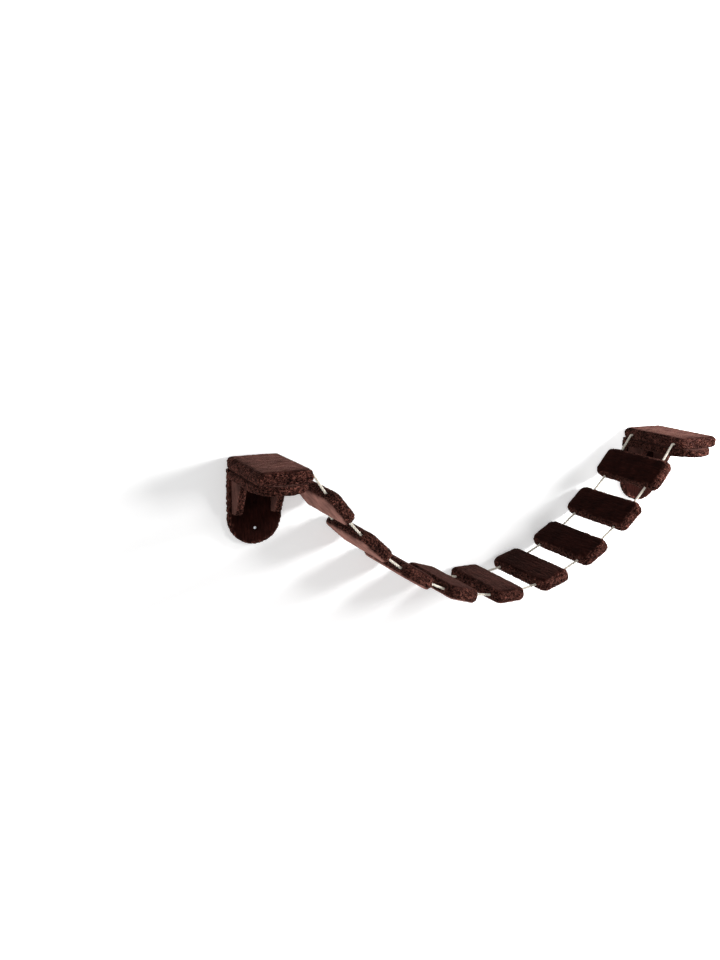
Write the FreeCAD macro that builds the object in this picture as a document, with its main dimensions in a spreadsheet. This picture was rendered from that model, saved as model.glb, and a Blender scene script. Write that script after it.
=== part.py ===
import FreeCAD, Part
import Sketcher
import math
import os
from enum import IntEnum, auto

# A wall-mounted plush bridge for cats: two plush-covered platforms are screwed
# to the wall, and two ropes between them carry nine plush-covered boards.
#
# Lengths are in millimetres. X runs along the wall, +Y goes into the wall and
# +Z is up. The origin is midway between the two wall screws of the left
# platform, on the wall's face.

os.makedirs("parts", exist_ok=True)
doc = FreeCAD.newDocument("plush_bridge")

# The driving dimensions: name, value, what it measures
SIZES = [
    ("platform_spacing", 1315.0, "platform centre to platform centre along the wall"),
    ("platform_width", 150.0, "outer width of a platform, over its plush"),
    ("platform_board", 15.0, "thickness of the boards in a platform"),
    ("seat_rise", 156.5, "top of the platform above the middle of the wall screws"),
    ("top_depth", 258.0, "reach of the upper slab from the wall"),
    ("top_plush", 8.5, "plush on the upper slab's board"),
    ("top_corner", 18.0, "corner radius of the upper slab in plan"),
    ("top_edge", 12.0, "rounding of the upper slab's edges"),
    ("top_crown", 2.0, "how far the upper slab's pile stands up in the middle"),
    ("shelf_reach", 268.0, "reach of the lower, round-fronted slab from the wall"),
    ("shelf_board", 10.0, "thickness of the lower slab's board"),
    ("shelf_plush", 7.0, "plush on the lower slab's board"),
    ("shelf_edge", 6.0, "bevel of the lower slab's edges"),
    ("wall_drop", 82.0, "bottom of the wall board below the middle of the screws"),
    ("wall_plush", 7.0, "plush on the wall board's front and rim"),
    ("wall_edge", 5.0, "bevel of the plush round the wall board's front"),
    ("gusset_board", 12.0, "thickness of a gusset's board"),
    ("gusset_plush", 5.0, "plush on a gusset"),
    ("gusset_edge", 4.0, "bevel of a gusset's free edges"),
    ("gusset_inset", 10.5, "gusset's outer face, in from the platform's side"),
    ("gusset_reach", 78.0, "gusset's top edge, out from the wall board"),
    ("gusset_drop", 97.0, "gusset's back edge, down from the lower slab"),
    ("gusset_nose_reach", 30.0, "gusset's lower front corner, out from the wall board"),
    ("gusset_nose_drop", 90.0, "gusset's lower front corner, down from the lower slab"),
    ("gusset_nose_round", 12.0, "radius of the gusset's lower front corner"),
    ("wall_screw_spacing", 72.0, "between the two wall screws of a platform"),
    ("wall_screw_shank", 5.0, "diameter of the wall screw's threaded shank"),
    ("wall_screw_neck", 4.2, "diameter of its plain neck inside the board"),
    ("wall_screw_head", 9.5, "wall screw's pan head diameter"),
    ("wall_screw_head_height", 3.2, "height of the pan head"),
    ("wall_screw_reach", 35.0, "length of wall screw that enters the wall"),
    ("wall_screw_tip", 6.0, "length of the wall screw's point"),
    ("joint_screw_shank", 4.0, "diameter of the screws that join the boards"),
    ("joint_screw_head", 8.0, "their countersunk head diameter"),
    ("joint_screw_head_height", 2.4, "height of the countersunk head"),
    ("joint_screw_length", 50.0, "length of the screws that join the boards"),
    ("joint_screw_spread", 70.0, "between the two screws into the lower slab's back edge"),
    ("gusset_screw_reach", 36.0, "gusset's top screw, out from the wall board"),
    ("screw_clearance", 0.15, "round a screw, in the hole through a board"),
    ("rope_diameter", 7.0, "the two ropes"),
    ("rope_spacing", 180.0, "between the back rope and the front rope"),
    ("rope_offset", 46.0, "back rope's distance from the wall"),
    ("rope_clearance", 0.2, "round a rope, in its groove and its slit in the plush"),
    ("rope_bend", 7.0, "radius of the rope's bend where it leaves a platform"),
    ("rope_sag", 382.0, "lowest point of the ropes below where they leave a platform"),
    ("anchor_play", 0.7, "between a rope's bend and the first stretch of rope"),
    ("rope_play", 1.2, "between a stretch of rope and the step it leads to"),
    ("knot_size", 14.4, "diameter of the knot at the end of a rope"),
    ("knot_length", 12.0, "length of that knot along the rope"),
    ("knot_pocket", 22.0, "each side of the square pocket that holds a knot"),
    ("knot_inset", 24.0, "pocket's centre, in from the board's side"),
    ("knot_clearance", 0.3, "between the knot and the wall of its pocket"),
    ("step_length", 265.0, "outer length of a step, out from the wall"),
    ("step_width", 100.0, "outer width of a step, along the ropes"),
    ("step_wall_gap", 3.0, "between the wall and the steps"),
    ("step_board", 18.0, "thickness of a step's board"),
    ("step_plush", 10.0, "plush round a step's board"),
    ("step_corner", 24.0, "corner radius of a step in plan"),
    ("step_edge", 14.0, "rounding of a step's edges"),
    ("step_crown", 1.5, "how far a step's pile stands up in the middle"),
    ("board_corner", 10.0, "how far the corners of the boards inside are cut off"),
    ("overrun", 5.0, "how far a cutting tool runs past what it cuts"),
]
STEPS = 9
SPANS = STEPS + 1
# sides of the ropes and of the hidden screws, which are drawn many-sided
ROPE_SIDES = 12
HIDDEN_SIDES = 8

sheet = doc.addObject("Spreadsheet::Sheet", "Sizes")
for row, (alias, value, note) in enumerate(SIZES, start=1):
    sheet.set(f"A{row}", note)
    sheet.set(f"B{row}", str(value))
    sheet.setAlias(f"B{row}", alias)
doc.recompute()


def size(alias):
    """One driving dimension, read from the sheet."""
    return float(sheet.get(alias))


def bind(item, prop, text):
    """Ties a property to the sheet; the words in the text are the sheet's names."""
    words = []
    for word in text.split():
        words.append(f"Sizes.{word}" if word[0].isalpha() else word)
    item.setExpression(prop, " ".join(words))


# Heights and thicknesses that several pieces share
top_thickness = size("platform_board") + 2 * size("top_plush")
shelf_thickness = size("shelf_board") + 2 * size("shelf_plush")
wall_thickness = size("platform_board") + size("wall_plush")
gusset_thickness = size("gusset_board") + 2 * size("gusset_plush")
step_thickness = size("step_board") + 2 * size("step_plush")
top_underside = size("seat_rise") - top_thickness
shelf_underside = top_underside - shelf_thickness
rope_level = size("seat_rise") - top_thickness / 2
gusset_place = size("platform_width") / 2 - size("gusset_inset") - gusset_thickness / 2
rope_places = (-size("rope_offset"), -size("rope_offset") - size("rope_spacing"))
step_middle = -size("step_wall_gap") - size("step_length") / 2
middle = size("platform_spacing") / 2

NODES = []


def node(item, label, place=None):
    """Names an object as one sub-part and puts it in its place."""
    item.Label = label
    if place is not None:
        item.Placement = place
    NODES.append(item)
    return item


def feature(name, shape):
    """A sub-part whose shape is worked out here from the sheet's values."""
    item = doc.addObject("Part::Feature", name)
    item.Shape = shape
    return item


def group(name, items):
    """Several separate solids that share one sub-part."""
    item = doc.addObject("Part::Compound", name)
    item.Links = items
    return item


def fuse(name, items):
    item = doc.addObject("Part::MultiFuse", name)
    item.Shapes = items
    return item


def cut(name, base, tool):
    item = doc.addObject("Part::Cut", name)
    item.Base = base
    item.Tool = tool
    return item


def primitive(kind, name, place=None, **sizes):
    """A Part primitive whose sizes follow the sheet."""
    item = doc.addObject(f"Part::{kind}", name)
    for prop, text in sizes.items():
        bind(item, prop, text)
    if place is not None:
        item.Placement = place
    return item


def at(x, y, z, axis=(0, 1, 0), degrees=0):
    """A placement: turned about the axis, then moved."""
    turn = FreeCAD.Rotation(FreeCAD.Vector(*axis), degrees)
    return FreeCAD.Placement(FreeCAD.Vector(x, y, z), turn)


# Sketches
class Point(IntEnum):
    """How a sketch numbers the points of a line or an arc."""

    START = auto()
    END = auto()
    CENTRE = auto()


START, END, CENTRE = Point
# how it numbers its own axes
ACROSS = -START
UP = ACROSS - START
ORIGIN = (ACROSS, START)


def new_sketch(body, role, name):
    """A sketch on one of the body's own origin planes."""
    sketch = body.newObject("Sketcher::SketchObject", name)
    plane = next(f for f in body.Origin.OriginFeatures if f.Role == role)
    sketch.AttachmentSupport = [(plane, "")]
    sketch.MapMode = "FlatFace"
    return sketch


def rule(sketch, kind, *places):
    """A constraint without a size."""
    sketch.addConstraint(Sketcher.Constraint(kind, *places))


def distance(sketch, way, first, second, text):
    """Ties the distance between two points, along one axis, to the sheet."""
    gap = sketch.getPoint(*second) - sketch.getPoint(*first)
    value = gap.x if way == "X" else gap.y
    limit = Sketcher.Constraint(f"Distance{way}", *first, *second, value)
    bind(sketch, f"Constraints[{sketch.addConstraint(limit)}]", text)


def radius(sketch, index, text):
    """Ties a circle's or an arc's radius to the sheet."""
    limit = Sketcher.Constraint("Radius", index, sketch.Geometry[index].Radius)
    bind(sketch, f"Constraints[{sketch.addConstraint(limit)}]", text)


def outline(sketch, points):
    """Straight lines round a closed outline, joined end to end."""
    lines = []
    for start, end in zip(points, points[1:] + points[:1]):
        segment = Part.LineSegment(FreeCAD.Vector(*start, 0), FreeCAD.Vector(*end, 0))
        lines.append(sketch.addGeometry(segment, False))
    for here, after in zip(lines, lines[1:] + lines[:1]):
        rule(sketch, "Coincident", here, END, after, START)
    return lines


def rectangle(sketch, across, up, across_text, up_text):
    """A rectangle about the sketch's origin."""
    x, y = across / 2, up / 2
    lines = outline(sketch, [(-x, -y), (x, -y), (x, y), (-x, y)])
    for index in (lines[0], lines[2]):
        rule(sketch, "Horizontal", index)
    for index in (lines[1], lines[3]):
        rule(sketch, "Vertical", index)
    rule(sketch, "Symmetric", lines[0], START, lines[2], START, *ORIGIN)
    distance(sketch, "X", (lines[0], START), (lines[0], END), across_text)
    distance(sketch, "Y", (lines[1], START), (lines[1], END), up_text)


def round_ended(sketch, half, straight, half_text, straight_text):
    """A flat top, two straight sides and a half-round end below them."""
    corners = [(half, -straight), (half, 0), (-half, 0), (-half, -straight)]
    lines = []
    for start, end in zip(corners, corners[1:]):
        segment = Part.LineSegment(FreeCAD.Vector(*start, 0), FreeCAD.Vector(*end, 0))
        lines.append(sketch.addGeometry(segment, False))
    circle = Part.Circle(FreeCAD.Vector(0, -straight, 0), FreeCAD.Vector(0, 0, 1), half)
    bend = sketch.addGeometry(Part.ArcOfCircle(circle, math.pi, 2 * math.pi), False)
    rule(sketch, "Coincident", lines[0], END, lines[1], START)
    rule(sketch, "Coincident", lines[1], END, lines[2], START)
    rule(sketch, "Tangent", lines[2], END, bend, START)
    rule(sketch, "Tangent", bend, END, lines[0], START)
    rule(sketch, "Vertical", lines[0])
    rule(sketch, "Vertical", lines[2])
    rule(sketch, "PointOnObject", lines[1], START, ACROSS)
    rule(sketch, "PointOnObject", lines[1], END, ACROSS)
    rule(sketch, "PointOnObject", bend, CENTRE, UP)
    radius(sketch, bend, half_text)
    distance(sketch, "Y", (lines[0], START), (lines[0], END), straight_text)


def pad(body, sketch, name, text, midplane=False):
    """Pads a sketch by a length that follows the sheet."""
    item = body.newObject("PartDesign::Pad", name)
    item.Profile = sketch
    bind(item, "Length", text)
    item.Midplane = midplane
    body.Tip = item
    doc.recompute()
    return item


def pocket_through(body, sketch, name):
    """Cuts a sketch right through its body, both ways."""
    before = body.Shape.Volume
    item = body.newObject("PartDesign::Pocket", name)
    item.Profile = sketch
    item.Type = "ThroughAll"
    item.Midplane = True
    body.Tip = item
    doc.recompute()
    if not body.Shape.Volume < before:
        raise RuntimeError(f"{name} cuts nothing")
    return item


# how far an edge may lean from an axis, as a share of its length
LEAN_SHARE = 1e-6


def straight_edges(shape, way):
    """The numbers of the straight edges that run along a direction."""
    found = []
    for number, edge in enumerate(shape.Edges, start=1):
        if not isinstance(edge.Curve, (Part.Line, Part.LineSegment)):
            continue
        if abs(abs(edge.tangentAt(edge.FirstParameter).dot(way)) - 1) < LEAN_SHARE:
            found.append(number)
    return found


def round_edges(body, base, name, numbers, text):
    """Rounds some edges of the body's last feature."""
    item = body.newObject("PartDesign::Fillet", name)
    item.Base = (base, [f"Edge{number}" for number in numbers])
    bind(item, "Radius", text)
    body.Tip = item
    doc.recompute()
    return item


def cut_corners(body, base, name, numbers, text):
    """Cuts off some edges of the body's last feature."""
    item = body.newObject("PartDesign::Chamfer", name)
    item.Base = (base, [f"Edge{number}" for number in numbers])
    bind(item, "Size", text)
    body.Tip = item
    doc.recompute()
    return item


# Forms through rings of points

# four corners are in one plane when the last is no further off it than this
FLATNESS = 1e-9


def flat_face(*corners):
    """A flat face between its corners."""
    return Part.Face(Part.makePolygon([*corners, corners[0]]))


def skin_over(rings):
    """A solid with flat faces from each ring of points to the next."""
    faces = [flat_face(*rings[0]), flat_face(*rings[-1])]
    for near, far in zip(rings, rings[1:]):
        for number, second in enumerate(near):
            first, third, fourth = near[number - 1], far[number], far[number - 1]
            normal = (second - first).cross(third - first).normalize()
            if abs(normal.dot(fourth - first)) < FLATNESS:
                faces.append(flat_face(first, second, third, fourth))
            else:
                faces.append(flat_face(first, second, third))
                faces.append(flat_face(first, third, fourth))
    return Part.Solid(Part.Shell(faces))


# Padded forms


def pile_slice(y, half_width, half_thick, edge, crown_up, crown_down):
    """One slice across a padded slab: crowned faces between rounded edges."""
    flat = half_width - edge

    def quarter(crown):
        """From the middle of a face, over the rounded edge, to the side."""
        spots = []
        for part in range(CROWN_PARTS):
            share = part / CROWN_PARTS
            spots.append((flat * share, half_thick + crown * (1 - share**2)))
        for part in range(EDGE_PARTS + 1):
            turn = QUARTER_TURN * part / EDGE_PARTS
            down = edge * (1 - math.cos(turn))
            spots.append((flat + edge * math.sin(turn), half_thick - down))
        return spots

    above, below = quarter(crown_up), quarter(crown_down)
    spots = above + [(x, -z) for x, z in reversed(below)]
    spots += [(-x, -z) for x, z in below[1:]]
    spots += [(-x, z) for x, z in reversed(above[1:])]
    return [FreeCAD.Vector(x, y, z) for x, z in spots]


QUARTER_TURN = math.pi / 2
# a slice's rounded edges and half of its crowned faces are drawn in as many
# straight parts
EDGE_PARTS = 4
CROWN_PARTS = 2
# where the slices of a padded slab stand, as shares of the quarter turn that its
# corners make in plan
TURN_SHARES = (1, 0.67, 0.33, 0)
# a slice's edges are rounded by no more than this share of its half thickness
ROUND_SHARE = 0.9


def padded_slab(length, width, thick, corner, edge, crown_up, crown_down):
    """A plush-covered board's outside, about its centre, in slices along Y."""
    slices = []
    for turn_share in TURN_SHARES:
        angle = QUARTER_TURN * turn_share
        y = length / 2 - corner * (1 - math.sin(angle))
        half_width = width / 2 - corner * (1 - math.cos(angle))
        over = max(0, edge - (length / 2 - y))
        half_thick = thick / 2 - edge + math.sqrt(edge**2 - over**2)
        slices.append((y, half_width, half_thick, math.cos(angle)))
    slices += [(-y, *rest) for y, *rest in reversed(slices)]
    rings = []
    for y, half_width, half_thick, share in slices:
        rounding = min(edge, half_thick * ROUND_SHARE)
        crowns = crown_up * share, crown_down * share
        rings.append(pile_slice(y, half_width, half_thick, rounding, *crowns))
    return skin_over(rings)


def block(low, high):
    """A plain box between two corners."""
    span_x, span_y, span_z = (high[i] - low[i] for i in range(3))
    return Part.makeBox(span_x, span_y, span_z, FreeCAD.Vector(*low))


def board_block(across, along, thick, corner):
    """The space that a board with cut corners takes up, about its centre."""
    space = block((-across / 2, -along / 2, -thick / 2), (across / 2, along / 2, thick / 2))
    edges = [space.Edges[number - 1] for number in straight_edges(space, UPRIGHT)]
    return space.makeChamfer(corner, edges)


def round_ended_block(half, straight, thick):
    """The space of a round-ended board, in XY, from its flat end towards -Y."""
    left, right = FreeCAD.Vector(-half, 0, 0), FreeCAD.Vector(half, 0, 0)
    low_left = FreeCAD.Vector(-half, -straight, 0)
    low_right = FreeCAD.Vector(half, -straight, 0)
    tip = FreeCAD.Vector(0, -straight - half, 0)
    edges = [
        Part.LineSegment(low_right, right).toShape(),
        Part.LineSegment(right, left).toShape(),
        Part.LineSegment(left, low_left).toShape(),
        Part.Arc(low_left, tip, low_right).toShape(),
    ]
    return Part.Face(Part.Wire(edges)).extrude(FreeCAD.Vector(0, 0, thick))


def rim_edges(shape, height):
    """The edges at one height of a round-ended block, without its flat end's."""
    chosen = []
    for edge in shape.Edges:
        box = edge.BoundBox
        level = abs(box.ZMin - height) < LEAN_SHARE and abs(box.ZMax - height) < LEAN_SHARE
        if level and box.YMin < -LEAN_SHARE:
            chosen.append(edge)
    return chosen


def rod(start, end, radius_value):
    """A round rod from one point to another, as a cutting tool."""
    way = end - start
    return Part.makeCylinder(radius_value, way.Length, start, way)


# Boards inside the plush
UPRIGHT = FreeCAD.Vector(0, 0, 1)
ALONG = FreeCAD.Vector(1, 0, 0)


def flat_board(name, across, along, across_text, along_text, thick_text):
    """A rectangular board with its corners cut off, about its centre."""
    body = doc.addObject("PartDesign::Body", name)
    sketch = new_sketch(body, "XY_Plane", f"{name}_outline")
    rectangle(sketch, across, along, across_text, along_text)
    blank = pad(body, sketch, f"{name}_blank", thick_text, midplane=True)
    corners = straight_edges(blank.Shape, UPRIGHT)
    cut_corners(body, blank, f"{name}_corners", corners, "board_corner")
    return body


def step_board(name):
    """A step's board, with a groove from side to side for each rope."""
    across = size("step_width") - 2 * size("step_plush")
    along = size("step_length") - 2 * size("step_plush")
    body = flat_board(
        name,
        across,
        along,
        "step_width - 2 * step_plush",
        "step_length - 2 * step_plush",
        "step_board",
    )
    half = size("rope_diameter") / 2 + size("rope_clearance")
    top = size("step_board") / 2
    half_text = "rope_diameter / 2 + rope_clearance"
    middle_text = "step_wall_gap + step_length / 2"
    out_texts = (
        f"{middle_text} - rope_offset + {half_text}",
        f"{middle_text} - rope_offset - rope_spacing + {half_text}",
    )
    sketch = new_sketch(body, "YZ_Plane", f"{name}_grooves")
    for place, out_text in zip(rope_places, out_texts):
        y = place - step_middle
        corners = [(y - half, -half), (y + half, -half), (y + half, top), (y - half, top)]
        lines = outline(sketch, corners)
        for index in (lines[0], lines[2]):
            rule(sketch, "Horizontal", index)
        for index in (lines[1], lines[3]):
            rule(sketch, "Vertical", index)
        distance(sketch, "X", (lines[0], START), (lines[0], END), f"2 * ( {half_text} )")
        distance(sketch, "Y", (lines[0], START), ORIGIN, half_text)
        distance(sketch, "Y", ORIGIN, (lines[2], START), "step_board / 2")
        distance(sketch, "X", ORIGIN, (lines[0], END), out_text)
    pocket_through(body, sketch, f"{name}_grooved")
    return body


def wall_board(name):
    """The board against the wall: flat on top, half round at the bottom."""
    half = size("platform_width") / 2 - size("wall_plush")
    straight = top_underside + size("wall_drop") - size("platform_width") / 2
    body = doc.addObject("PartDesign::Body", name)
    sketch = new_sketch(body, "XZ_Plane", f"{name}_outline")
    round_ended(
        sketch,
        half,
        straight,
        "platform_width / 2 - wall_plush",
        "seat_rise - platform_board - 2 * top_plush + wall_drop - platform_width / 2",
    )
    pad(body, sketch, f"{name}_blank", "platform_board")
    return body


def shelf_board(name):
    """The lower slab's board: its front is a half circle."""
    half = size("platform_width") / 2 - size("shelf_plush")
    straight = size("shelf_reach") - wall_thickness - size("platform_width") / 2
    body = doc.addObject("PartDesign::Body", name)
    sketch = new_sketch(body, "XY_Plane", f"{name}_outline")
    round_ended(
        sketch,
        half,
        straight,
        "platform_width / 2 - shelf_plush",
        "shelf_reach - platform_board - wall_plush - platform_width / 2",
    )
    pad(body, sketch, f"{name}_blank", "shelf_board")
    return body


def gusset_board(name):
    """One of the two brackets under the slabs, with a round lower front corner."""
    plush = size("gusset_plush")
    reach = size("gusset_reach") - plush
    nose_out, nose_down = size("gusset_nose_reach") - plush, size("gusset_nose_drop") - plush
    drop = size("gusset_drop") - plush
    body = doc.addObject("PartDesign::Body", name)
    sketch = new_sketch(body, "YZ_Plane", f"{name}_outline")
    lines = outline(sketch, [(0, 0), (-reach, 0), (-nose_out, -nose_down), (0, -drop)])
    rule(sketch, "Coincident", lines[0], START, *ORIGIN)
    rule(sketch, "Horizontal", lines[0])
    rule(sketch, "Vertical", lines[3])
    corner = (lines[1], END)
    distance(sketch, "X", (lines[0], END), ORIGIN, "gusset_reach - gusset_plush")
    distance(sketch, "X", corner, ORIGIN, "gusset_nose_reach - gusset_plush")
    distance(sketch, "Y", corner, ORIGIN, "gusset_nose_drop - gusset_plush")
    distance(sketch, "Y", (lines[3], START), ORIGIN, "gusset_drop - gusset_plush")
    blank = pad(body, sketch, f"{name}_blank", "gusset_board", midplane=True)
    nose = edges_near(blank.Shape, -nose_out, -nose_down)
    rounding = "gusset_nose_round - gusset_plush"
    round_edges(body, blank, f"{name}_nose", nose, rounding)
    return body


def edges_near(shape, y, z):
    """The numbers of the edges along X that stand at one place."""
    found = []
    for number in straight_edges(shape, ALONG):
        box = shape.Edges[number - 1].BoundBox
        if abs(box.YMin - y) < LEAN_SHARE and abs(box.ZMin - z) < LEAN_SHARE:
            found.append(number)
    return found


# Screws


def wall_screw(name, place):
    """A pan-head screw, its head's underside at its own zero."""
    head = primitive(
        "Cylinder",
        f"{name}_head",
        Radius="wall_screw_head / 2",
        Height="wall_screw_head_height",
    )
    bind(head, "Placement.Base.z", "0 - wall_screw_head_height")
    neck = primitive(
        "Prism",
        f"{name}_neck",
        Circumradius="wall_screw_neck / 2",
        Height="platform_board",
    )
    neck.Polygon = HIDDEN_SIDES
    shank = primitive(
        "Cylinder",
        f"{name}_shank",
        Radius="wall_screw_shank / 2",
        Height="wall_screw_reach - wall_screw_tip",
    )
    bind(shank, "Placement.Base.z", "platform_board")
    tip = primitive(
        "Cone",
        f"{name}_tip",
        Radius1="wall_screw_shank / 2",
        Radius2=f"wall_screw_shank / 2 * {TIP_SHARE}",
        Height="wall_screw_tip",
    )
    bind(tip, "Placement.Base.z", "platform_board + wall_screw_reach - wall_screw_tip")
    screw = fuse(name, [head, neck, shank, tip])
    screw.Placement = place
    return screw


# how wide a screw's point ends, as a share of its shank
TIP_SHARE = 0.15


def joint_screw(name, place, grow=""):
    """A hidden screw between two boards, the top of its head at its own zero."""
    head = primitive(
        "Prism",
        f"{name}_head",
        Circumradius=f"joint_screw_head / 2{grow}",
        Height="joint_screw_head_height",
    )
    shank = primitive(
        "Prism",
        f"{name}_shank",
        Circumradius=f"joint_screw_shank / 2{grow}",
        Height=f"joint_screw_length{grow}",
    )
    for item in (head, shank):
        item.Polygon = HIDDEN_SIDES
    screw = fuse(name, [head, shank])
    screw.Placement = place
    return screw


def joint_screw_places(x):
    """Where the screws that join the boards of one platform stand."""
    shelf_middle = top_underside - shelf_thickness / 2
    shelf_top = top_underside - size("shelf_plush")
    out = -wall_thickness - size("gusset_screw_reach")
    places = []
    for side in (-1, 1):
        spread = side * size("joint_screw_spread") / 2
        places.append(at(x + spread, 0, shelf_middle, (1, 0, 0), 90))
        places.append(at(x + side * gusset_place, out, shelf_top, (1, 0, 0), 180))
    return places


# Platforms


def wall_cover(x):
    """The plush over the wall board, with a hole over each wall screw."""
    half = size("platform_width") / 2
    straight = top_underside + size("wall_drop") - half
    board = size("platform_board")
    skin = round_ended_block(half, straight, wall_thickness)
    skin = skin.makeChamfer(size("wall_edge"), rim_edges(skin, wall_thickness))
    skin = skin.cut(round_ended_block(half - size("wall_plush"), straight, board))
    skin.rotate(FreeCAD.Vector(0, 0, 0), ALONG, 90)
    skin.translate(FreeCAD.Vector(x, 0, top_underside))
    opening = size("wall_screw_head") / 2 + size("screw_clearance")
    for z in (-size("wall_screw_spacing") / 2, size("wall_screw_spacing") / 2):
        start = FreeCAD.Vector(x, -board, z)
        end = FreeCAD.Vector(x, -wall_thickness - size("overrun"), z)
        skin = skin.cut(rod(start, end, opening))
    return skin


def shelf_cover(x):
    """The plush round the lower slab's board; its back butts on the wall board."""
    half = size("platform_width") / 2
    straight = size("shelf_reach") - wall_thickness - half
    skin = round_ended_block(half, straight, shelf_thickness)
    rims = rim_edges(skin, 0) + rim_edges(skin, shelf_thickness)
    skin = skin.makeChamfer(size("shelf_edge"), rims)
    core = round_ended_block(half - size("shelf_plush"), straight, size("shelf_board"))
    core.translate(FreeCAD.Vector(0, 0, size("shelf_plush")))
    skin = skin.cut(core)
    skin.translate(FreeCAD.Vector(x, -wall_thickness, shelf_underside))
    return skin


def gusset_block(reach, drop, nose_out, nose_down, rounding, thick):
    """The space of a gusset: its top back corner is at the origin."""
    corners = [(0, 0), (-reach, 0), (-nose_out, -nose_down), (0, -drop), (0, 0)]
    points = [FreeCAD.Vector(-thick / 2, y, z) for y, z in corners]
    space = Part.Face(Part.makePolygon(points)).extrude(FreeCAD.Vector(thick, 0, 0))
    nose = edges_near(space, -nose_out, -nose_down)
    return space.makeFillet(rounding, [space.Edges[number - 1] for number in nose])


def gusset_cover(x):
    """The plush round a gusset's board; its top and back butt on their neighbours."""
    plush = size("gusset_plush")
    reach, drop = size("gusset_reach"), size("gusset_drop")
    out, down = size("gusset_nose_reach"), size("gusset_nose_drop")
    rounding = size("gusset_nose_round")
    skin = gusset_block(reach, drop, out, down, rounding, gusset_thickness)
    free = []
    for edge in skin.Edges:
        box = edge.BoundBox
        butted = box.ZMin > -LEAN_SHARE or box.YMin > -LEAN_SHARE
        if box.XMax - box.XMin < LEAN_SHARE and not butted:
            free.append(edge)
    skin = skin.makeChamfer(size("gusset_edge"), free)
    inner = [value - plush for value in (reach, drop, out, down, rounding)]
    skin = skin.cut(gusset_block(*inner, size("gusset_board")))
    skin.translate(FreeCAD.Vector(x, -wall_thickness, shelf_underside))
    return skin


def rope_ways(x, side):
    """The grooves for the ropes, from a platform's side to the knots' pockets."""
    pocket_x = knot_pocket_place(x, side)
    outside = x + side * (size("platform_width") / 2 + size("overrun"))
    half = size("rope_diameter") / 2 + size("rope_clearance")
    half_pocket = size("knot_pocket") / 2
    half_thick = size("platform_board") / 2
    grooves, pockets = [], []
    for y in rope_places:
        ends = sorted((pocket_x, outside))
        low = (ends[0], y - half, rope_level - half)
        grooves.append(block(low, (ends[1], y + half, rope_level + half)))
        low = (pocket_x - half_pocket, y - half_pocket, rope_level - half_thick)
        high = (pocket_x + half_pocket, y + half_pocket, rope_level + half_thick)
        pockets.append(block(low, high))
    return grooves, pockets


def knot_pocket_place(x, side):
    """The middle of a knot's pocket, along the wall."""
    half_board = size("platform_width") / 2 - size("top_plush")
    return x + side * (half_board - size("knot_inset"))


def top_cover(x, side):
    """The plush round the upper slab's board: crowned on top, flat below."""
    skin = padded_slab(
        size("top_depth"),
        size("platform_width"),
        top_thickness,
        size("top_corner"),
        size("top_edge"),
        size("top_crown"),
        0,
    )
    core = board_block(
        size("platform_width") - 2 * size("top_plush"),
        size("top_depth") - 2 * size("top_plush"),
        size("platform_board"),
        size("board_corner"),
    )
    skin = skin.cut(core)
    skin.translate(FreeCAD.Vector(x, -size("top_depth") / 2, rope_level))
    grooves, _ = rope_ways(x, side)
    for groove in grooves:
        skin = skin.cut(groove)
    return skin


def ring(centre, out, across):
    """Points round a rope's middle line, in the plane of two of its radii."""
    points = []
    for number in range(ROPE_SIDES):
        turn = 2 * math.pi * number / ROPE_SIDES
        points.append(centre + out * math.cos(turn) + across * math.sin(turn))
    return points


# the knot's outline, from its blunt end to the rope: along it, and its width
KNOT_SHARES = ((-0.5, 0.35), (-0.25, 0.95), (0.2, 1.0), (0.42, 0.7))
# the rope's bend, where it leaves a platform, is cut into this many parts
BEND_PARTS = 4


def rope_end(x, side, y, exit_angle):
    """A rope's end: its knot, its run through the board and its bend outside."""
    mouth = x + side * size("platform_width") / 2
    room = (size("knot_pocket") - size("knot_length")) / 2 - size("knot_clearance")
    knot_x = knot_pocket_place(x, side) + side * room
    rope = size("rope_diameter") / 2
    knot = size("knot_size") / 2
    route = []
    for along_share, width_share in KNOT_SHARES:
        place = knot_x + side * along_share * size("knot_length")
        route.append((place, rope_level, 0, knot * width_share))
    route.append((knot_x + side * size("knot_length") / 2, rope_level, 0, rope))
    route.append((mouth, rope_level, 0, rope))
    for part in range(1, BEND_PARTS + 1):
        turn = exit_angle * part / BEND_PARTS
        out = size("rope_bend") * math.sin(turn)
        down = size("rope_bend") * (1 - math.cos(turn))
        route.append((mouth + side * out, rope_level - down, turn, rope))
    rings = []
    for place, height, turn, half in route:
        up = FreeCAD.Vector(side * math.sin(turn), 0, math.cos(turn)) * half
        across = FreeCAD.Vector(0, half, 0)
        rings.append(ring(FreeCAD.Vector(place, y, height), up, across))
    return skin_over(rings)


def screws_for(word, x):
    """The screws of one platform, and the holes that they need in its boards."""
    half_spacing = size("wall_screw_spacing") / 2
    into_wall = (1, 0, 0), -90
    wall, bores = [], []
    for name, z in (("upper", half_spacing), ("lower", -half_spacing)):
        board = size("platform_board")
        wall.append(wall_screw(f"{word}_{name}_wall_screw", at(x, -board, z, *into_wall)))
        drill = primitive(
            "Cylinder",
            f"{word}_{name}_wall_bore",
            at(x, -board - size("overrun"), z, *into_wall),
            Radius="wall_screw_shank / 2 + screw_clearance",
            Height="platform_board + 2 * overrun",
        )
        bores.append(drill)
    joint, holes = [], []
    for number, place in enumerate(joint_screw_places(x), start=1):
        joint.append(joint_screw(f"{word}_joint_screw_{number}", place))
        hole = joint_screw(f"{word}_joint_hole_{number}", place, " + screw_clearance")
        holes.append(hole)
    node(group(f"{word}_wall_screw_pair", wall), f"{word}_wall_screws")
    node(group(f"{word}_joint_screw_set", joint), f"{word}_joint_screws")
    return group(f"{word}_joint_holes", holes), bores


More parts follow.
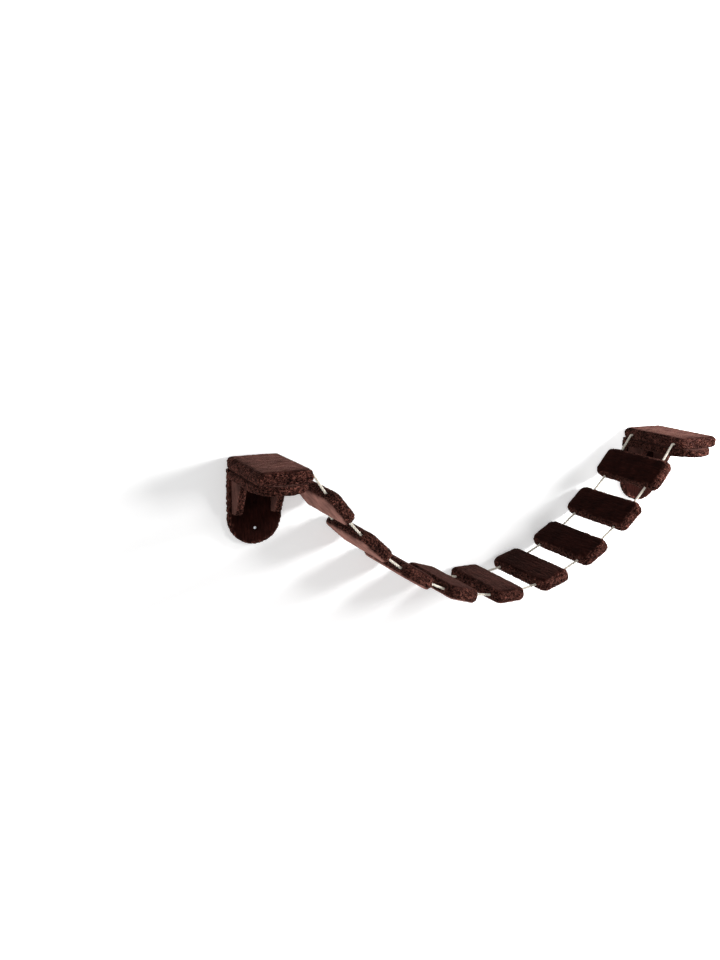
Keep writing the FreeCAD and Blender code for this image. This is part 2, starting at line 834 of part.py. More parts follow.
def wall_piece(word, x, holes, bores):
    """The board on the wall and its plush."""
    board = wall_board(f"{word}_wall_blank")
    board.Placement = at(x, 0, top_underside)
    drills = group(f"{word}_wall_drills", [holes, *bores])
    node(cut(f"{word}_wall_cut", board, drills), f"{word}_wall_board")
    skin = wall_cover(x).cut(holes.Shape)
    node(feature(f"{word}_wall_skin", skin), f"{word}_wall_cover")


def shelf_piece(word, x, holes):
    """The lower slab's board and its plush."""
    board = shelf_board(f"{word}_shelf_blank")
    board.Placement = at(x, -wall_thickness, shelf_underside + size("shelf_plush"))
    node(cut(f"{word}_shelf_cut", board, holes), f"{word}_shelf_board")
    skin = shelf_cover(x).cut(holes.Shape)
    node(feature(f"{word}_shelf_skin", skin), f"{word}_shelf_cover")


def gusset_pieces(word, x, side, holes):
    """The two brackets and their plush."""
    gussets, skins = [], []
    for name, hand in (("outer", -side), ("inner", side)):
        place = x + hand * gusset_place
        board = gusset_board(f"{word}_{name}_gusset")
        board.Placement = at(place, -wall_thickness, shelf_underside)
        gussets.append(cut(f"{word}_{name}_gusset_cut", board, holes))
        skins.append(gusset_cover(place))
    node(group(f"{word}_gusset_pair", gussets), f"{word}_gussets")
    node(feature(f"{word}_gusset_skins", Part.Compound(skins)), f"{word}_gusset_covers")


def top_piece(word, x, side, exit_angle):
    """The upper slab's board, its plush and the ropes' ends in it."""
    board = flat_board(
        f"{word}_top_blank",
        size("platform_width") - 2 * size("top_plush"),
        size("top_depth") - 2 * size("top_plush"),
        "platform_width - 2 * top_plush",
        "top_depth - 2 * top_plush",
        "platform_board",
    )
    board.Placement = at(x, -size("top_depth") / 2, rope_level)
    grooves, pockets = rope_ways(x, side)
    ways = feature(f"{word}_rope_ways", Part.Compound(grooves + pockets))
    node(cut(f"{word}_top_cut", board, ways), f"{word}_top_board")
    node(feature(f"{word}_top_skin", top_cover(x, side)), f"{word}_top_cover")
    ends = [rope_end(x, side, y, exit_angle) for y in rope_places]
    node(feature(f"{word}_rope_end_pair", Part.Compound(ends)), f"{word}_rope_ends")


def platform(word, x, side, exit_angle):
    """One platform; its ropes leave it towards the given side."""
    holes, bores = screws_for(word, x)
    doc.recompute()
    wall_piece(word, x, holes, bores)
    shelf_piece(word, x, holes)
    gusset_pieces(word, x, side, holes)
    top_piece(word, x, side, exit_angle)


# How the ropes hang


def catenary(half_width, drop):
    """The size a of a chain z = a cosh(x/a) that drops this far over this width."""
    low, high = half_width * FLATTEST_SHARE, half_width / FLATTEST_SHARE
    for _ in range(HALVING_ROUNDS):
        guess = (low + high) / 2
        if guess * (math.cosh(half_width / guess) - 1) > drop:
            low = guess
        else:
            high = guess
    return (low + high) / 2


# the search for the chain's size starts between this share of its width and the
# width over it, and is halved in so many rounds
FLATTEST_SHARE = 0.05
HALVING_ROUNDS = 60
# the bend's angle and the hanging line are fitted to each other in so many
FITTING_ROUNDS = 30


def hanging_places():
    """The steps' centres and slopes and the two rope anchors, on the hanging line."""
    bend = size("rope_bend")
    clear_half = middle - size("platform_width") / 2
    exit_angle = QUARTER_TURN / 2
    for _ in range(FITTING_ROUNDS):
        down = bend * (1 - math.cos(exit_angle))
        half_width = clear_half - bend * math.sin(exit_angle)
        a = catenary(half_width, size("rope_sag") - down)
        length = 2 * a * math.sinh(half_width / a)
        gap = (length - STEPS * size("step_width")) / SPANS
        pitch = gap + size("step_width")
        lowest = rope_level - size("rope_sag")
        steps = []
        for number in range(1, STEPS + 1):
            along = (number - SPANS / 2) * pitch
            x = a * math.asinh(along / a)
            z = lowest + a * (math.cosh(x / a) - 1)
            steps.append((middle + x, z, math.atan(along / a)))
        anchors = [(middle + hand * half_width, rope_level - down) for hand in (-1, 1)]
        mouth = step_mouth(steps[0], -1)
        exit_angle = math.atan2(anchors[0][1] - mouth[1], mouth[0] - anchors[0][0])
    return steps, anchors, exit_angle, gap


def step_mouth(step, hand):
    """Where the ropes leave a step, on its left (-1) or right (+1) side."""
    x, z, slope = step
    half = hand * size("step_width") / 2
    return x + half * math.cos(slope), z + half * math.sin(slope)


# Steps and the rope between them


def step_cover():
    """The plush round a step's board, about its centre, slit where the ropes pass."""
    skin = padded_slab(
        size("step_length"),
        size("step_width"),
        step_thickness,
        size("step_corner"),
        size("step_edge"),
        size("step_crown"),
        size("step_crown"),
    )
    core = board_block(
        size("step_width") - 2 * size("step_plush"),
        size("step_length") - 2 * size("step_plush"),
        size("step_board"),
        size("board_corner"),
    )
    skin = skin.cut(core)
    half = size("rope_diameter") / 2 + size("rope_clearance")
    far = size("step_width") / 2 + size("overrun")
    for place in rope_places:
        y = place - step_middle
        skin = skin.cut(block((-far, y - half, -half), (far, y + half, half)))
    return skin


def step(number, place):
    """One step: its board, its plush and the two ropes inside it."""
    word = f"step_{number}"
    x, z, slope = place
    seat = at(x, step_middle, z, (0, 1, 0), -math.degrees(slope))
    node(step_board(f"{word}_blank"), f"{word}_board", seat)
    node(feature(f"{word}_skin", step_cover()), f"{word}_cover", seat)
    ropes = []
    for name, y in zip(("back", "front"), rope_places):
        start = at(-size("step_width") / 2, y - step_middle, 0, (0, 1, 0), 90)
        rope = rope_length(f"{word}_{name}_rope", start)
        bind(rope, "Height", "step_width")
        rope.Polygon = HIDDEN_SIDES
        ropes.append(rope)
    node(group(f"{word}_rope_pair", ropes), f"{word}_ropes", seat)


def rope_length(name, place):
    """A straight length of rope, many-sided."""
    rope = primitive("Prism", name, place, Circumradius="rope_diameter / 2")
    rope.Polygon = ROPE_SIDES
    return rope


def span(number, start, end):
    """The two ropes between one step, or platform, and the next."""
    run = math.dist(start, end)
    first = size("anchor_play") if number == 1 else size("rope_play")
    last = size("anchor_play") if number == SPANS else size("rope_play")
    way = FreeCAD.Vector(end[0] - start[0], 0, end[1] - start[1]).normalize()
    turn = FreeCAD.Rotation(UPRIGHT, way)
    ropes = []
    for name, y in zip(("back", "front"), rope_places):
        place = FreeCAD.Vector(start[0], y, start[1]) + way * first
        rope = rope_length(f"span_{number}_{name}", FreeCAD.Placement(place, turn))
        rope.Height = run - first - last
        ropes.append(rope)
    node(group(f"span_{number}_pair", ropes), f"span_{number}_ropes")


def span_ends(steps, anchors):
    """Both ends of every free stretch of rope, from the left platform onwards."""
    leaving = [anchors[0]] + [step_mouth(place, 1) for place in steps]
    arriving = [step_mouth(place, -1) for place in steps] + [anchors[1]]
    return list(zip(leaving, arriving))


steps, anchors, exit_angle, rope_gap = hanging_places()
platform("left", 0, 1, exit_angle)
platform("right", size("platform_spacing"), -1, exit_angle)
for number, place in enumerate(steps, start=1):
    step(number, place)
for number, (start, end) in enumerate(span_ends(steps, anchors), start=1):
    span(number, start, end)
doc.recompute()

print(f"rope between steps {rope_gap:.1f} mm, leaving at {math.degrees(exit_angle):.1f} degrees")
for item in doc.Objects:
    if "Invalid" in item.State or "Error" in item.State:
        raise RuntimeError(f"{item.Name} is {item.State}")
for item in NODES:
    if item.Shape.isNull() or not item.Shape.isValid():
        raise RuntimeError(f"{item.Label} has no valid shape")
for item in NODES:
    item.Shape.exportStep(f"parts/{item.Label}.step")
print(f"{len(NODES)} sub-parts written")
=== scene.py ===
# %% [markdown]
# # A hanging cat bridge: two plush platforms on a wall and nine plush steps on two ropes
#
# The CAD model gives every piece its place and its motion. This lesson gives the pieces their
# looks: plush with pile that stands in clumps, laid cotton rope, plywood and zinc-plated screws.
# Everything is in metres, in the model's own frame: x runs along the wall, y into the wall and z
# up.

# %% Load the frame that everything is built on
import math

import bmesh
import bpy
import numpy as np
from mathutils import Matrix, Vector, noise


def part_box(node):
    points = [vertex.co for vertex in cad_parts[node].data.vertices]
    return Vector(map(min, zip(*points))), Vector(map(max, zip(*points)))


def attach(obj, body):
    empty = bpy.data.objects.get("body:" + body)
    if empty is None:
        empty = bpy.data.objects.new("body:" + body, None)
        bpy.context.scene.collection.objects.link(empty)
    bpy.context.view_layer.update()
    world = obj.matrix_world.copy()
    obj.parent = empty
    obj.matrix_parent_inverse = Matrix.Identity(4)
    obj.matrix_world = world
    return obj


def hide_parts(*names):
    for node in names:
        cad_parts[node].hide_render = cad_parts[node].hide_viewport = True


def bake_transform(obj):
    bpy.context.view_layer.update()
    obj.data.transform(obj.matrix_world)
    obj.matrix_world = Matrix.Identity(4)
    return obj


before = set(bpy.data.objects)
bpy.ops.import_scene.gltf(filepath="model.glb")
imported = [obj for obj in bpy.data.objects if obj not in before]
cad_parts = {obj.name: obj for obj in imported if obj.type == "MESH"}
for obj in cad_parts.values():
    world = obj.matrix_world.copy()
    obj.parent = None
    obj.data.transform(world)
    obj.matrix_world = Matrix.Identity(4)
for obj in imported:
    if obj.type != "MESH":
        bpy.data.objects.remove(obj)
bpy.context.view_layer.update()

MM = 0.001

# %% [markdown]
# ## Where the steps and ropes are
#
# A rope between two steps is a straight line in the wall's plane, and so is the rope inside a step.
# Their places could be typed here, but reading them from the model's own meshes keeps this script
# true if a size changes there. The middle of such a mesh is the middle of its box, and its
# direction is the one in which it is longest.


# %% Read a straight rope's middle, direction and reach from its node
def line_of(node):
    """The middle of the node, the direction in which it runs to the right, and half its length."""
    points = np.array([vertex.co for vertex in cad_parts[node].data.vertices])
    middle = (points.max(0) + points.min(0)) / 2
    across = (points - middle) * (1, 0, 1)
    run = np.linalg.svd(across, full_matrices=False)[2][0]
    run = run if run[0] > 0 else -run
    return Vector(middle), Vector(run), float(np.abs(across @ run).max())


STEPS = 9
SPANS = STEPS + 1
step_line = {k: line_of(f"step_{k}_ropes") for k in range(1, SPANS)}
span_line = {k: line_of(f"span_{k}_ropes") for k in range(1, SPANS + 1)}
slope = {k: math.atan2(run.z, run.x) for k, (_, run, _) in step_line.items()}
print("slopes of the steps:", [round(math.degrees(turn)) for turn in slope.values()])
print("free rope, mm:", [round(2 * reach / MM) for _, _, reach in span_line.values()])

# %% [markdown]
# ## Colours and nodes
#
# Colours are written as they are picked on a screen, in sRGB, and Blender mixes light in linear
# values, so one function turns one into the other. Materials are small graphs, so one function adds
# a node with its settings and its links.


# %% Turn a screen colour to linear, and add a node
def colour(code):
    """The linear colour of a screen colour such as #3a2320."""
    shares = [int(code[i : i + 2], 16) / 255 for i in (1, 3, 5)]
    linear = [v / 12.92 if v < 0.04045 else ((v + 0.055) / 1.055) ** 2.4 for v in shares]
    return (*linear, 1.0)


def add(tree, kind, links=None, **settings):
    """A new node: settings are its own choices, links gives each input a value or a socket."""
    node = tree.nodes.new(kind)
    for name, value in settings.items():
        setattr(node, name, value)
    for name, value in (links or {}).items():
        if isinstance(value, bpy.types.NodeSocket):
            tree.links.new(value, node.inputs[name])
        else:
            node.inputs[name].default_value = value
    return node


def start_material(name):
    """An empty material, its tree and the place where the finished surface goes in."""
    material = bpy.data.materials.new(name)
    material.use_nodes = True
    tree = material.node_tree
    tree.nodes.clear()
    return material, tree, tree.nodes.new("ShaderNodeOutputMaterial")


print("a dark brown, #3a2320, in linear values:", [round(v, 3) for v in colour("#3a2320")[:3]])

# %% [markdown]
# ## Polyester plush
#
# The boards are wrapped in short polyester plush: a knitted cloth with a cut pile about 8 mm deep.
# Seen straight on, light falls between the fibres and the cloth is nearly black. Seen at a low
# angle, the fibres' sides catch the light and it turns pinkish brown. Sheen is the layer of a
# surface that does this. Where the cloth is pulled round an edge, the pile parts in clumps. Their
# colour is dark at the roots, which is painted shade, and pale at the tips, which is a painted
# highlight. The mesh carries the clumps' height as a value called pile, so the painted shade and
# highlights follow the same clumps that the shape has. Two more values say where the pile lies
# brushed flat, with faint streaks in place of curls, and where a painted sheen, a pale pinkish
# colour for light glancing off the fibres' sides, is laid over the cloth. One graph then serves
# every wrapped piece.

# %% Make the plush's material
# the mesh's values: the pile's height, where it lies brushed flat, and how much painted sheen it gets
PILE, BRUSHED, SHEEN_PAINT = "pile", "brushed", "sheen_paint"
# real fibres are 0.02 mm thick; locks of 3 mm are the finest that show at this distance
LOCK = 3.0 * MM
# how far the locks stand out in the shading
LOCK_RELIEF = 1.2 * MM
# the cloth's pile lies in brushed patches about as wide as a hand's stroke
PATCH = 38 * MM
# how much darker and paler than the cloth's own colour the patches are
PATCH_DARK, PATCH_PALE = 0.65, 1.35
# along a brushed streak the pile changes this many times more slowly than across it
STREAK_STRETCH = 9.0
# opened pile still leans the way it was brushed
CURL_STRETCH = 2.0


def plush(name, along):
    """Cut pile: painted shade at the roots, painted highlights at the tips, painted sheen, a real glow at
    low angles, streaks along one axis.
    """
    material, tree, end = start_material(name)
    where = add(tree, "ShaderNodeTexCoord").outputs["Object"]
    height = add(tree, "ShaderNodeAttribute", attribute_name=PILE).outputs["Fac"]
    brushed = add(tree, "ShaderNodeAttribute", attribute_name=BRUSHED).outputs["Fac"]
    sheen_paint = add(tree, "ShaderNodeAttribute", attribute_name=SHEEN_PAINT).outputs["Fac"]
    leaning = [1 / CURL_STRETCH if axis == along else 1.0 for axis in range(3)]
    leant = add(tree, "ShaderNodeMapping", {"Vector": where, "Scale": leaning})
    curled = {"Vector": leant.outputs[0], "Scale": 1 / LOCK, "Detail": 2.0, "Distortion": 1.2}
    curls = add(tree, "ShaderNodeTexNoise", curled)
    stretch = [1 / STREAK_STRETCH if axis == along else 1.0 for axis in range(3)]
    combed = add(tree, "ShaderNodeMapping", {"Vector": where, "Scale": stretch})
    lying = {"Vector": combed.outputs[0], "Scale": 1 / LOCK, "Detail": 3.0, "Distortion": 0.4}
    streaks = add(tree, "ShaderNodeTexNoise", lying)
    sharp = {"Value": curls.outputs["Fac"], "From Min": 0.42, "From Max": 0.66}
    curled_up = add(tree, "ShaderNodeMapRange", sharp, interpolation_type="SMOOTHSTEP")
    faint = {"Value": streaks.outputs["Fac"], "From Min": 0.2, "From Max": 0.8}
    laid_down = add(tree, "ShaderNodeMapRange", faint)
    chosen = {0: brushed, 2: curled_up.outputs[0], 3: laid_down.outputs[0]}
    locks = add(tree, "ShaderNodeMix", chosen)
    # the pile's height paints the colour: dark as painted shade where it is low, pale as a painted
    # highlight on the locks' tips
    share = add(tree, "ShaderNodeMath", {0: locks.outputs[0], 1: height}, operation="MULTIPLY")
    tip = add(tree, "ShaderNodeMix", {0: brushed, 6: OPEN_TIP_HIGHLIGHT, 7: FLAT_TIP}, data_type="RGBA")
    tipped = {0: share.outputs[0], 6: ROOT_SHADE, 7: tip.outputs[2]}
    wool = add(tree, "ShaderNodeMix", tipped, data_type="RGBA")
    # painted sheen: the pale colour of light glancing off the fibres' sides, laid over the cloth by its
    # share
    sheen_painted_over = {0: sheen_paint, 6: wool.outputs[2], 7: PAINTED_SHEEN}
    cloth = add(tree, "ShaderNodeMix", sheen_painted_over, data_type="RGBA")
    patches = add(tree, "ShaderNodeTexNoise", {"Vector": where, "Scale": 1 / PATCH, "Detail": 2.0})
    uneven = {"Value": patches.outputs["Fac"], "From Min": 0.35, "From Max": 0.65}
    uneven.update({"To Min": PATCH_DARK, "To Max": PATCH_PALE})
    shade = add(tree, "ShaderNodeMapRange", uneven)
    stroked = {0: 1.0, 6: cloth.outputs[2], 7: shade.outputs[0]}
    worn = add(tree, "ShaderNodeMix", stroked, data_type="RGBA", blend_type="MULTIPLY")
    raised = {"Height": locks.outputs[0], "Distance": LOCK_RELIEF, "Strength": 0.8}
    relief = add(tree, "ShaderNodeBump", raised)
    finish = {
        "Base Color": worn.outputs[2],
        "Normal": relief.outputs["Normal"],
        "Roughness": 0.95,
        "Specular IOR Level": 0.04,
        "Sheen Weight": 0.45,
        "Sheen Roughness": 0.3,
        "Sheen Tint": LOW_LIGHT,
    }
    surface = add(tree, "ShaderNodeBsdfPrincipled", finish)
    tree.links.new(surface.outputs[0], end.inputs["Surface"])
    return material


# painted shade between the fibres, the brushed pile's tips, the opened pile's tips as painted
# highlights, the painted sheen of the fibres' sides, and the glow
ROOT_SHADE, FLAT_TIP, OPEN_TIP_HIGHLIGHT = colour("#130504"), colour("#391913"), colour("#8e584c")
PAINTED_SHEEN, LOW_LIGHT = colour("#a5766b"), colour("#b98478")
plush_across = plush("polyester plush, cut pile, brushed across", 0)
plush_out = plush("polyester plush, cut pile, brushed outwards", 1)
plush_down = plush("polyester plush, cut pile, brushed down", 2)
print("plush:", plush_across.name)

# %% [markdown]
# ## Boards wrapped in plush
#
# Each slab is a board with foam-like plush round it: a flat block with round corners in plan and
# round edges. The plan's corners are rounded first, and the block is then a stack of rings that are
# that plan drawn in a little towards the top and the bottom. A voxel remesh turns it into even
# squares of 2 mm, so the clumps of the pile have points to shape. Its result is smooth and closed,
# which a sculpted or boolean mesh wouldn't be.

# %% Draw a plan with round corners
CORNER_PARTS = 10
# no corner gets sharper than this when the plan is drawn in
SHARPEST = 0.2 * MM


def rounded_plan(corners, radii, inset):
    """The outline of a convex plan, drawn in by inset, with an arc at each corner."""
    count = len(corners)
    points = [Vector(corner) for corner in corners]
    turn = sum(points[i - 1].cross(points[i]) for i in range(count))
    points, radii = (points, list(radii)) if turn > 0 else (points[::-1], list(radii)[::-1])
    sides = [(points[(i + 1) % count] - points[i]).normalized() for i in range(count)]
    outline = []
    for i in range(count):
        before, after = sides[i - 1], sides[i]
        bend = before.angle_signed(after) * -1
        radius = max(radii[i] - inset, SHARPEST)
        # the corner moves in along the line that halves it
        inward = (Vector((-before.y, before.x)) + Vector((-after.y, after.x))).normalized()
        corner = points[i] + inward * inset / math.cos(bend / 2)
        centre = corner + inward * radius / math.cos(bend / 2)
        first = math.atan2(-before.x, before.y)
        for part in range(CORNER_PARTS + 1):
            angle = first + bend * part / CORNER_PARTS
            outline.append(centre + radius * Vector((math.cos(angle), math.sin(angle))))
    return outline


square = rounded_plan([(0, 0), (1, 0), (1, 1), (0, 1)], [0.25] * 4, 0)
reaches = [round(max(p[i] for p in square), 3) for i in (0, 1)]
print("a unit square with corners of 0.25 reaches", reaches)


# %% Stack the plan into a block and cut it into even squares
VOXEL = 2.0 * MM
EDGE_PARTS = 6


def slab_mesh(corners, radii, low, high, edge):
    """A block over the plan from low to high, with round edges; it is built in its own axes."""
    form = bmesh.new()
    rings = []
    quarter = [math.pi / 2 * part / EDGE_PARTS for part in range(EDGE_PARTS + 1)]
    rounding = [(edge * (1 - math.sin(a)), edge * (1 - math.cos(a))) for a in quarter]
    steps = [(inset, low + rise) for inset, rise in rounding]
    steps += [(inset, high - rise) for inset, rise in reversed(rounding)]
    for inset, level in steps:
        outline = rounded_plan(corners, radii, inset)
        rings.append([form.verts.new((p.x, p.y, level)) for p in outline])
    for below, above in zip(rings, rings[1:]):
        for i in range(len(below)):
            form.faces.new((below[i - 1], below[i], above[i], above[i - 1]))
    form.faces.new(rings[0][::-1])
    form.faces.new(rings[-1])
    mesh = bpy.data.meshes.new("block")
    form.to_mesh(mesh)
    form.free()
    block = bpy.data.objects.new("block", mesh)
    bpy.context.scene.collection.objects.link(block)
    even = block.modifiers.new("even squares", "REMESH")
    even.mode, even.voxel_size, even.adaptivity = "VOXEL", VOXEL, 0.0
    settled = block.modifiers.new("settle", "SMOOTH")
    settled.factor, settled.iterations = 0.5, 2
    shaped = block.evaluated_get(bpy.context.evaluated_depsgraph_get())
    result = bpy.data.meshes.new_from_object(shaped)
    bpy.data.objects.remove(block)
    bpy.data.meshes.remove(mesh)
    return result


trial = slab_mesh([(0, 0), (0.05, 0), (0.05, 0.08), (0, 0.08)], [0.01] * 4, 0, 0.03, 0.008)
print("a trial block has", len(trial.vertices), "points")
bpy.data.meshes.remove(trial)

# %% [markdown]
# ## The pile
#
# A soft pile could be drawn with bump alone, but then its outline stays as sharp as plastic. Real
# hair would show every fibre, and at this size would cost millions of strands. Between the two,
# each point of the mesh moves in by the depth of the pile at that point. On the wide faces the pile
# is brushed flat and shows faint streaks. On edges and ends it opens in clumps about 8 mm wide. On
# its sides the stretched cloth also folds into long, low creases. All these depths go inwards, so a
# slab never grows into the slab beside it, and only the free tops of the upper slabs and steps
# bulge a little.

# %% Press the clumps of the pile into a block
CLUMP = Vector((8.0, 8.0, 11.0)) * MM
CLUMP_DEPTH, THIN_CLUMP_DEPTH = 3.0 * MM, 2.0 * MM
# a streak's width in millimetres, and its depth
STREAK_MM, STREAK_DEPTH = 5.0, 0.9 * MM
# on its sides the stretched cloth folds into long, low creases, and their colour is painted darker as
# shade
CREASE, CREASE_DEPTH = Vector((45.0, 45.0, 10.0)) * MM, 1.6 * MM
# the pile's height value, and so its colour, drops by this share in a crease: painted shade
CREASE_SHADE = 0.6
# the flat part ends about this far from the edge, on a line that wanders in waves
RIM, RIM_WAVE, RIM_START = 20 * MM, 14 * MM, 0.3
RIM_MIDDLE, RIM_SWING = 0.55, 0.6
# how upright a face's normal is where the pile starts to lie flat, and where it lies all flat
TILTED, LEVEL = 0.6, 0.95
# the locks swirl in the noise by this much, and part where it is further than this from zero
SWIRL_SCALE, SWIRL, PARTING = 0.6, 0.6, 0.4
# the pile's height at its lowest and what a full lock adds, where it is opened and brushed
OPENED, OPENED_GAIN = 0.3, 0.7
LAID, LAID_GAIN = 0.35, 0.35
# the upholstery bulges to its full height over this distance from the edge, on the topmost faces
CROWN_RUN, CROWN_SKIN = 45 * MM, 3 * MM
# noise_vector takes its offsets from the clock unless a seed is set; with one, every run
# gives the same pile
PILE_SEED = 1
noise.seed_set(PILE_SEED)


def divided(place, size):
    return Vector((place.x / size.x, place.y / size.y, place.z / size.z))


def clump(place, size):
    """How high the pile stands: 0 where it parts and 1 along the crest of a lock."""
    spot = divided(place, size)
    spot += noise.noise_vector(spot * SWIRL_SCALE) * SWIRL
    return 1.0 - min(1.0, abs(noise.noise(spot)) / PARTING)


def smooth_share(value, low, high):
    share = min(1.0, max(0.0, (value - low) / (high - low)))
    return share * share * (3 - 2 * share)


def outline_distance(places, outline):
    """How far each place is from the plan's outline, worked out for all places at once."""
    nearest = np.full(len(places), 1.0)
    for i in range(len(outline)):
        start, end = np.array(outline[i - 1]), np.array(outline[i])
        run = end - start
        if run @ run < 1e-12:
            continue
        share = np.clip((places - start) @ run / (run @ run), 0, 1)
        gap = places - start - share[:, None] * run
        nearest = np.minimum(nearest, np.hypot(gap[:, 0], gap[:, 1]))
    return nearest


def grow_pile(
    mesh,
    outline,
    shift,
    along=1,
    pinches=(),
    crown=0.0,
    high=0.0,
    deep=CLUMP_DEPTH,
    fold=CREASE_DEPTH,
    under=0.0,
    over=0.0,
):
    """Moves the block's points in to the pile's surface and keeps the pile's height at each."""
    stretch = [STREAK_STRETCH if axis == along else 1.0 for axis in range(3)]
    streak_size = Vector([STREAK_MM * share * MM for share in stretch])
    count = len(mesh.vertices)
    places, normals = np.empty(count * 3), np.empty(count * 3)
    mesh.vertices.foreach_get("co", places)
    mesh.vertex_normals.foreach_get("vector", normals)
    places, normals = places.reshape(-1, 3), normals.reshape(-1, 3)
    rim = outline_distance(places[:, :2], outline)
    heights, flatness, sheen_paint = np.empty(count), np.empty(count), np.empty(count)
    moved = places.copy()
    for i in range(count):
        place, normal = Vector(places[i]), Vector(normals[i])
        spot = place + shift
        flat = smooth_share(abs(normal.z), TILTED, LEVEL)
        ragged = RIM * (RIM_MIDDLE + RIM_SWING * noise.noise(spot / RIM_WAVE))
        flat *= smooth_share(rim[i], RIM_START * ragged, ragged)
        tuft, streak = clump(spot, CLUMP), clump(spot, streak_size)
        crease = clump(spot, CREASE) ** 2
        depth = deep * (1 - tuft) * (1 - flat) + STREAK_DEPTH * (1 - streak) * flat
        depth += fold * crease * (1 - flat)
        for centre, inner, outer, dip in pinches:
            away = (place - Vector(centre)).length
            depth += dip * (1 - smooth_share(away, inner, outer))
        on_top = normal.z > 0.5 and place.z > high - CROWN_SKIN
        bulge = crown * smooth_share(rim[i], 0, CROWN_RUN) if on_top else 0
        moved[i] = place - normal * depth + Vector((0, 0, bulge))
        # painted shade: a crease lowers the pile's height value, which darkens the colour
        opened = (OPENED + OPENED_GAIN * tuft) * (1 - CREASE_SHADE * crease)
        heights[i] = opened * (1 - flat) + (LAID + LAID_GAIN * streak) * flat
        flatness[i] = flat
        # painted sheen: faces that look down get the share under of it, and faces that look up the share
        # over
        below = smooth_share(-normal.z, TILTED, LEVEL)
        above = smooth_share(normal.z, TILTED, LEVEL)
        sheen_paint[i] = under * below + over * above
    mesh.vertices.foreach_set("co", moved.ravel())
    for name, values in ((PILE, heights), (BRUSHED, flatness), (SHEEN_PAINT, sheen_paint)):
        kept = mesh.attributes.new(name, "FLOAT", "POINT")
        kept.data.foreach_set("value", values.astype(np.float32))
    mesh.shade_smooth()


crests = [round(clump(Vector((x * MM, 0, 0)), CLUMP), 2) for x in range(0, 12, 3)]
print("pile height at a few places:", crests)


# %% Put a wrapped slab in its place
def wrapped(name, node, body, block, turn, seed, cloth, along, pinches=(), crown=0.0, under=0.0):
    """A board wrapped in plush that stands for its CAD node and moves with the node's body."""
    mesh = slab_mesh(*block)
    shift = Vector((seed * 0.37, seed * 0.53, seed * 0.71))
    outline = rounded_plan(*block[:2], 0)
    grow_pile(mesh, outline, shift, along, pinches, crown, block[3], under=under)
    mesh.transform(turn)
    if turn.determinant() < 0:
        mesh.flip_normals()
    mesh.materials.append(cloth)
    piece = bpy.data.objects.new(name, mesh)
    bpy.context.scene.collection.objects.link(piece)
    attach(piece, body)
    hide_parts(node)


# %% [markdown]
# ## The platforms
#
# Each platform has a thick upper slab, a slab with a round front under it, a wall board that is
# round at its bottom, and two brackets. The plush dips where a rope comes out and where a screw
# draws it onto the board.

# %% Build the covers of both platforms
TOP_CORNER, TOP_EDGE, TOP_CROWN = 18 * MM, 14 * MM, 2 * MM
SHELF_EDGE, WALL_EDGE, GUSSET_EDGE = 6 * MM, 5 * MM, 5 * MM
PILE_RISE, ROPE_RISE = 1.5 * MM, 16 * MM
# a pinch in the pile is full out to the first distance and ends at the second
PINCH_INNER, PINCH_OUTER, MOUTH_DIP = 3 * MM, 8 * MM, 2 * MM
# where a slab meets another one its cloth goes on into the joint, so its edge rounds off out of sight
BUTT = 5 * MM
# the slab's own axes, plan first and thickness last, as x, y and z of the model
LYING = Matrix.Identity(4)
ON_WALL = Matrix(((1, 0, 0, 0), (0, 0, 1, 0), (0, 1, 0, 0), (0, 0, 0, 1)))
ON_EDGE = Matrix(((0, 0, 1, 0), (1, 0, 0, 0), (0, 1, 0, 0), (0, 0, 0, 1)))
rope_lines = (-46 * MM, -226 * MM)
# height of each wall screw and how deep the pile is pressed round its head; the upper one is nearly buried
screw_lines = ((-36 * MM, 6.5 * MM), (36 * MM, 2.8 * MM))


def corners_of(low, high, u, v, grow=0.0):
    """The four corners of a box in two of its axes; grow lifts the far side of the second one."""
    far = high[v] + grow
    return [(low[u], low[v]), (high[u], low[v]), (high[u], far), (low[u], far)]


def platform_covers(side, out, seed):
    """out is 1 where the bridge leaves to the right and -1 where it leaves to the left."""
    low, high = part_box(f"{side}_top_cover")
    mouth = high.x if out > 0 else low.x
    # the pile of the upper face stands a little above the size that the CAD model has
    level = high.z + PILE_RISE
    rope_height = low.z + ROPE_RISE
    pinch = PINCH_INNER, PINCH_OUTER
    mouths = [((mouth, y, rope_height), *pinch, MOUTH_DIP) for y in rope_lines]
    block = (corners_of(low, high, 0, 1), [TOP_CORNER] * 4, low.z, level, TOP_EDGE)
    top = f"{side}_top_plush", f"{side}_top_cover", "platforms"
    wrapped(*top, block, LYING, seed, plush_across, 0, mouths, TOP_CROWN)

    low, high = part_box(f"{side}_shelf_cover")
    half = (high.x - low.x) / 2
    round_front = [half, half, BUTT, BUTT]
    block = (corners_of(low, high, 0, 1, BUTT), round_front, low.z, high.z, SHELF_EDGE)
    shelf = f"{side}_shelf_plush", f"{side}_shelf_cover", "platforms"
    wrapped(*shelf, block, LYING, seed + 1, plush_across, 0)

    low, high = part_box(f"{side}_wall_cover")
    middle = (low.x + high.x) / 2
    screws = [((middle, z, low.y), *pinch, dip) for z, dip in screw_lines]
    block = (corners_of(low, high, 0, 2, BUTT), round_front, low.y, high.y, WALL_EDGE)
    board = f"{side}_wall_plush", f"{side}_wall_cover", "platforms"
    wrapped(*board, block, ON_WALL, seed + 2, plush_down, 1, screws)


platform_covers("left", 1, 1)
platform_covers("right", -1, 11)


# %% Build the brackets, two to a platform in one piece
GUSSET_THICK, GUSSET_REACH, GUSSET_NOSE_OUT = 22 * MM, 78 * MM, 30 * MM
GUSSET_NOSE_DOWN, GUSSET_NOSE = 90 * MM, 12 * MM
# a bracket's flat sides get a little painted sheen, the pale colour of light glancing off the fibres
BRACKET_SHEEN = 0.2


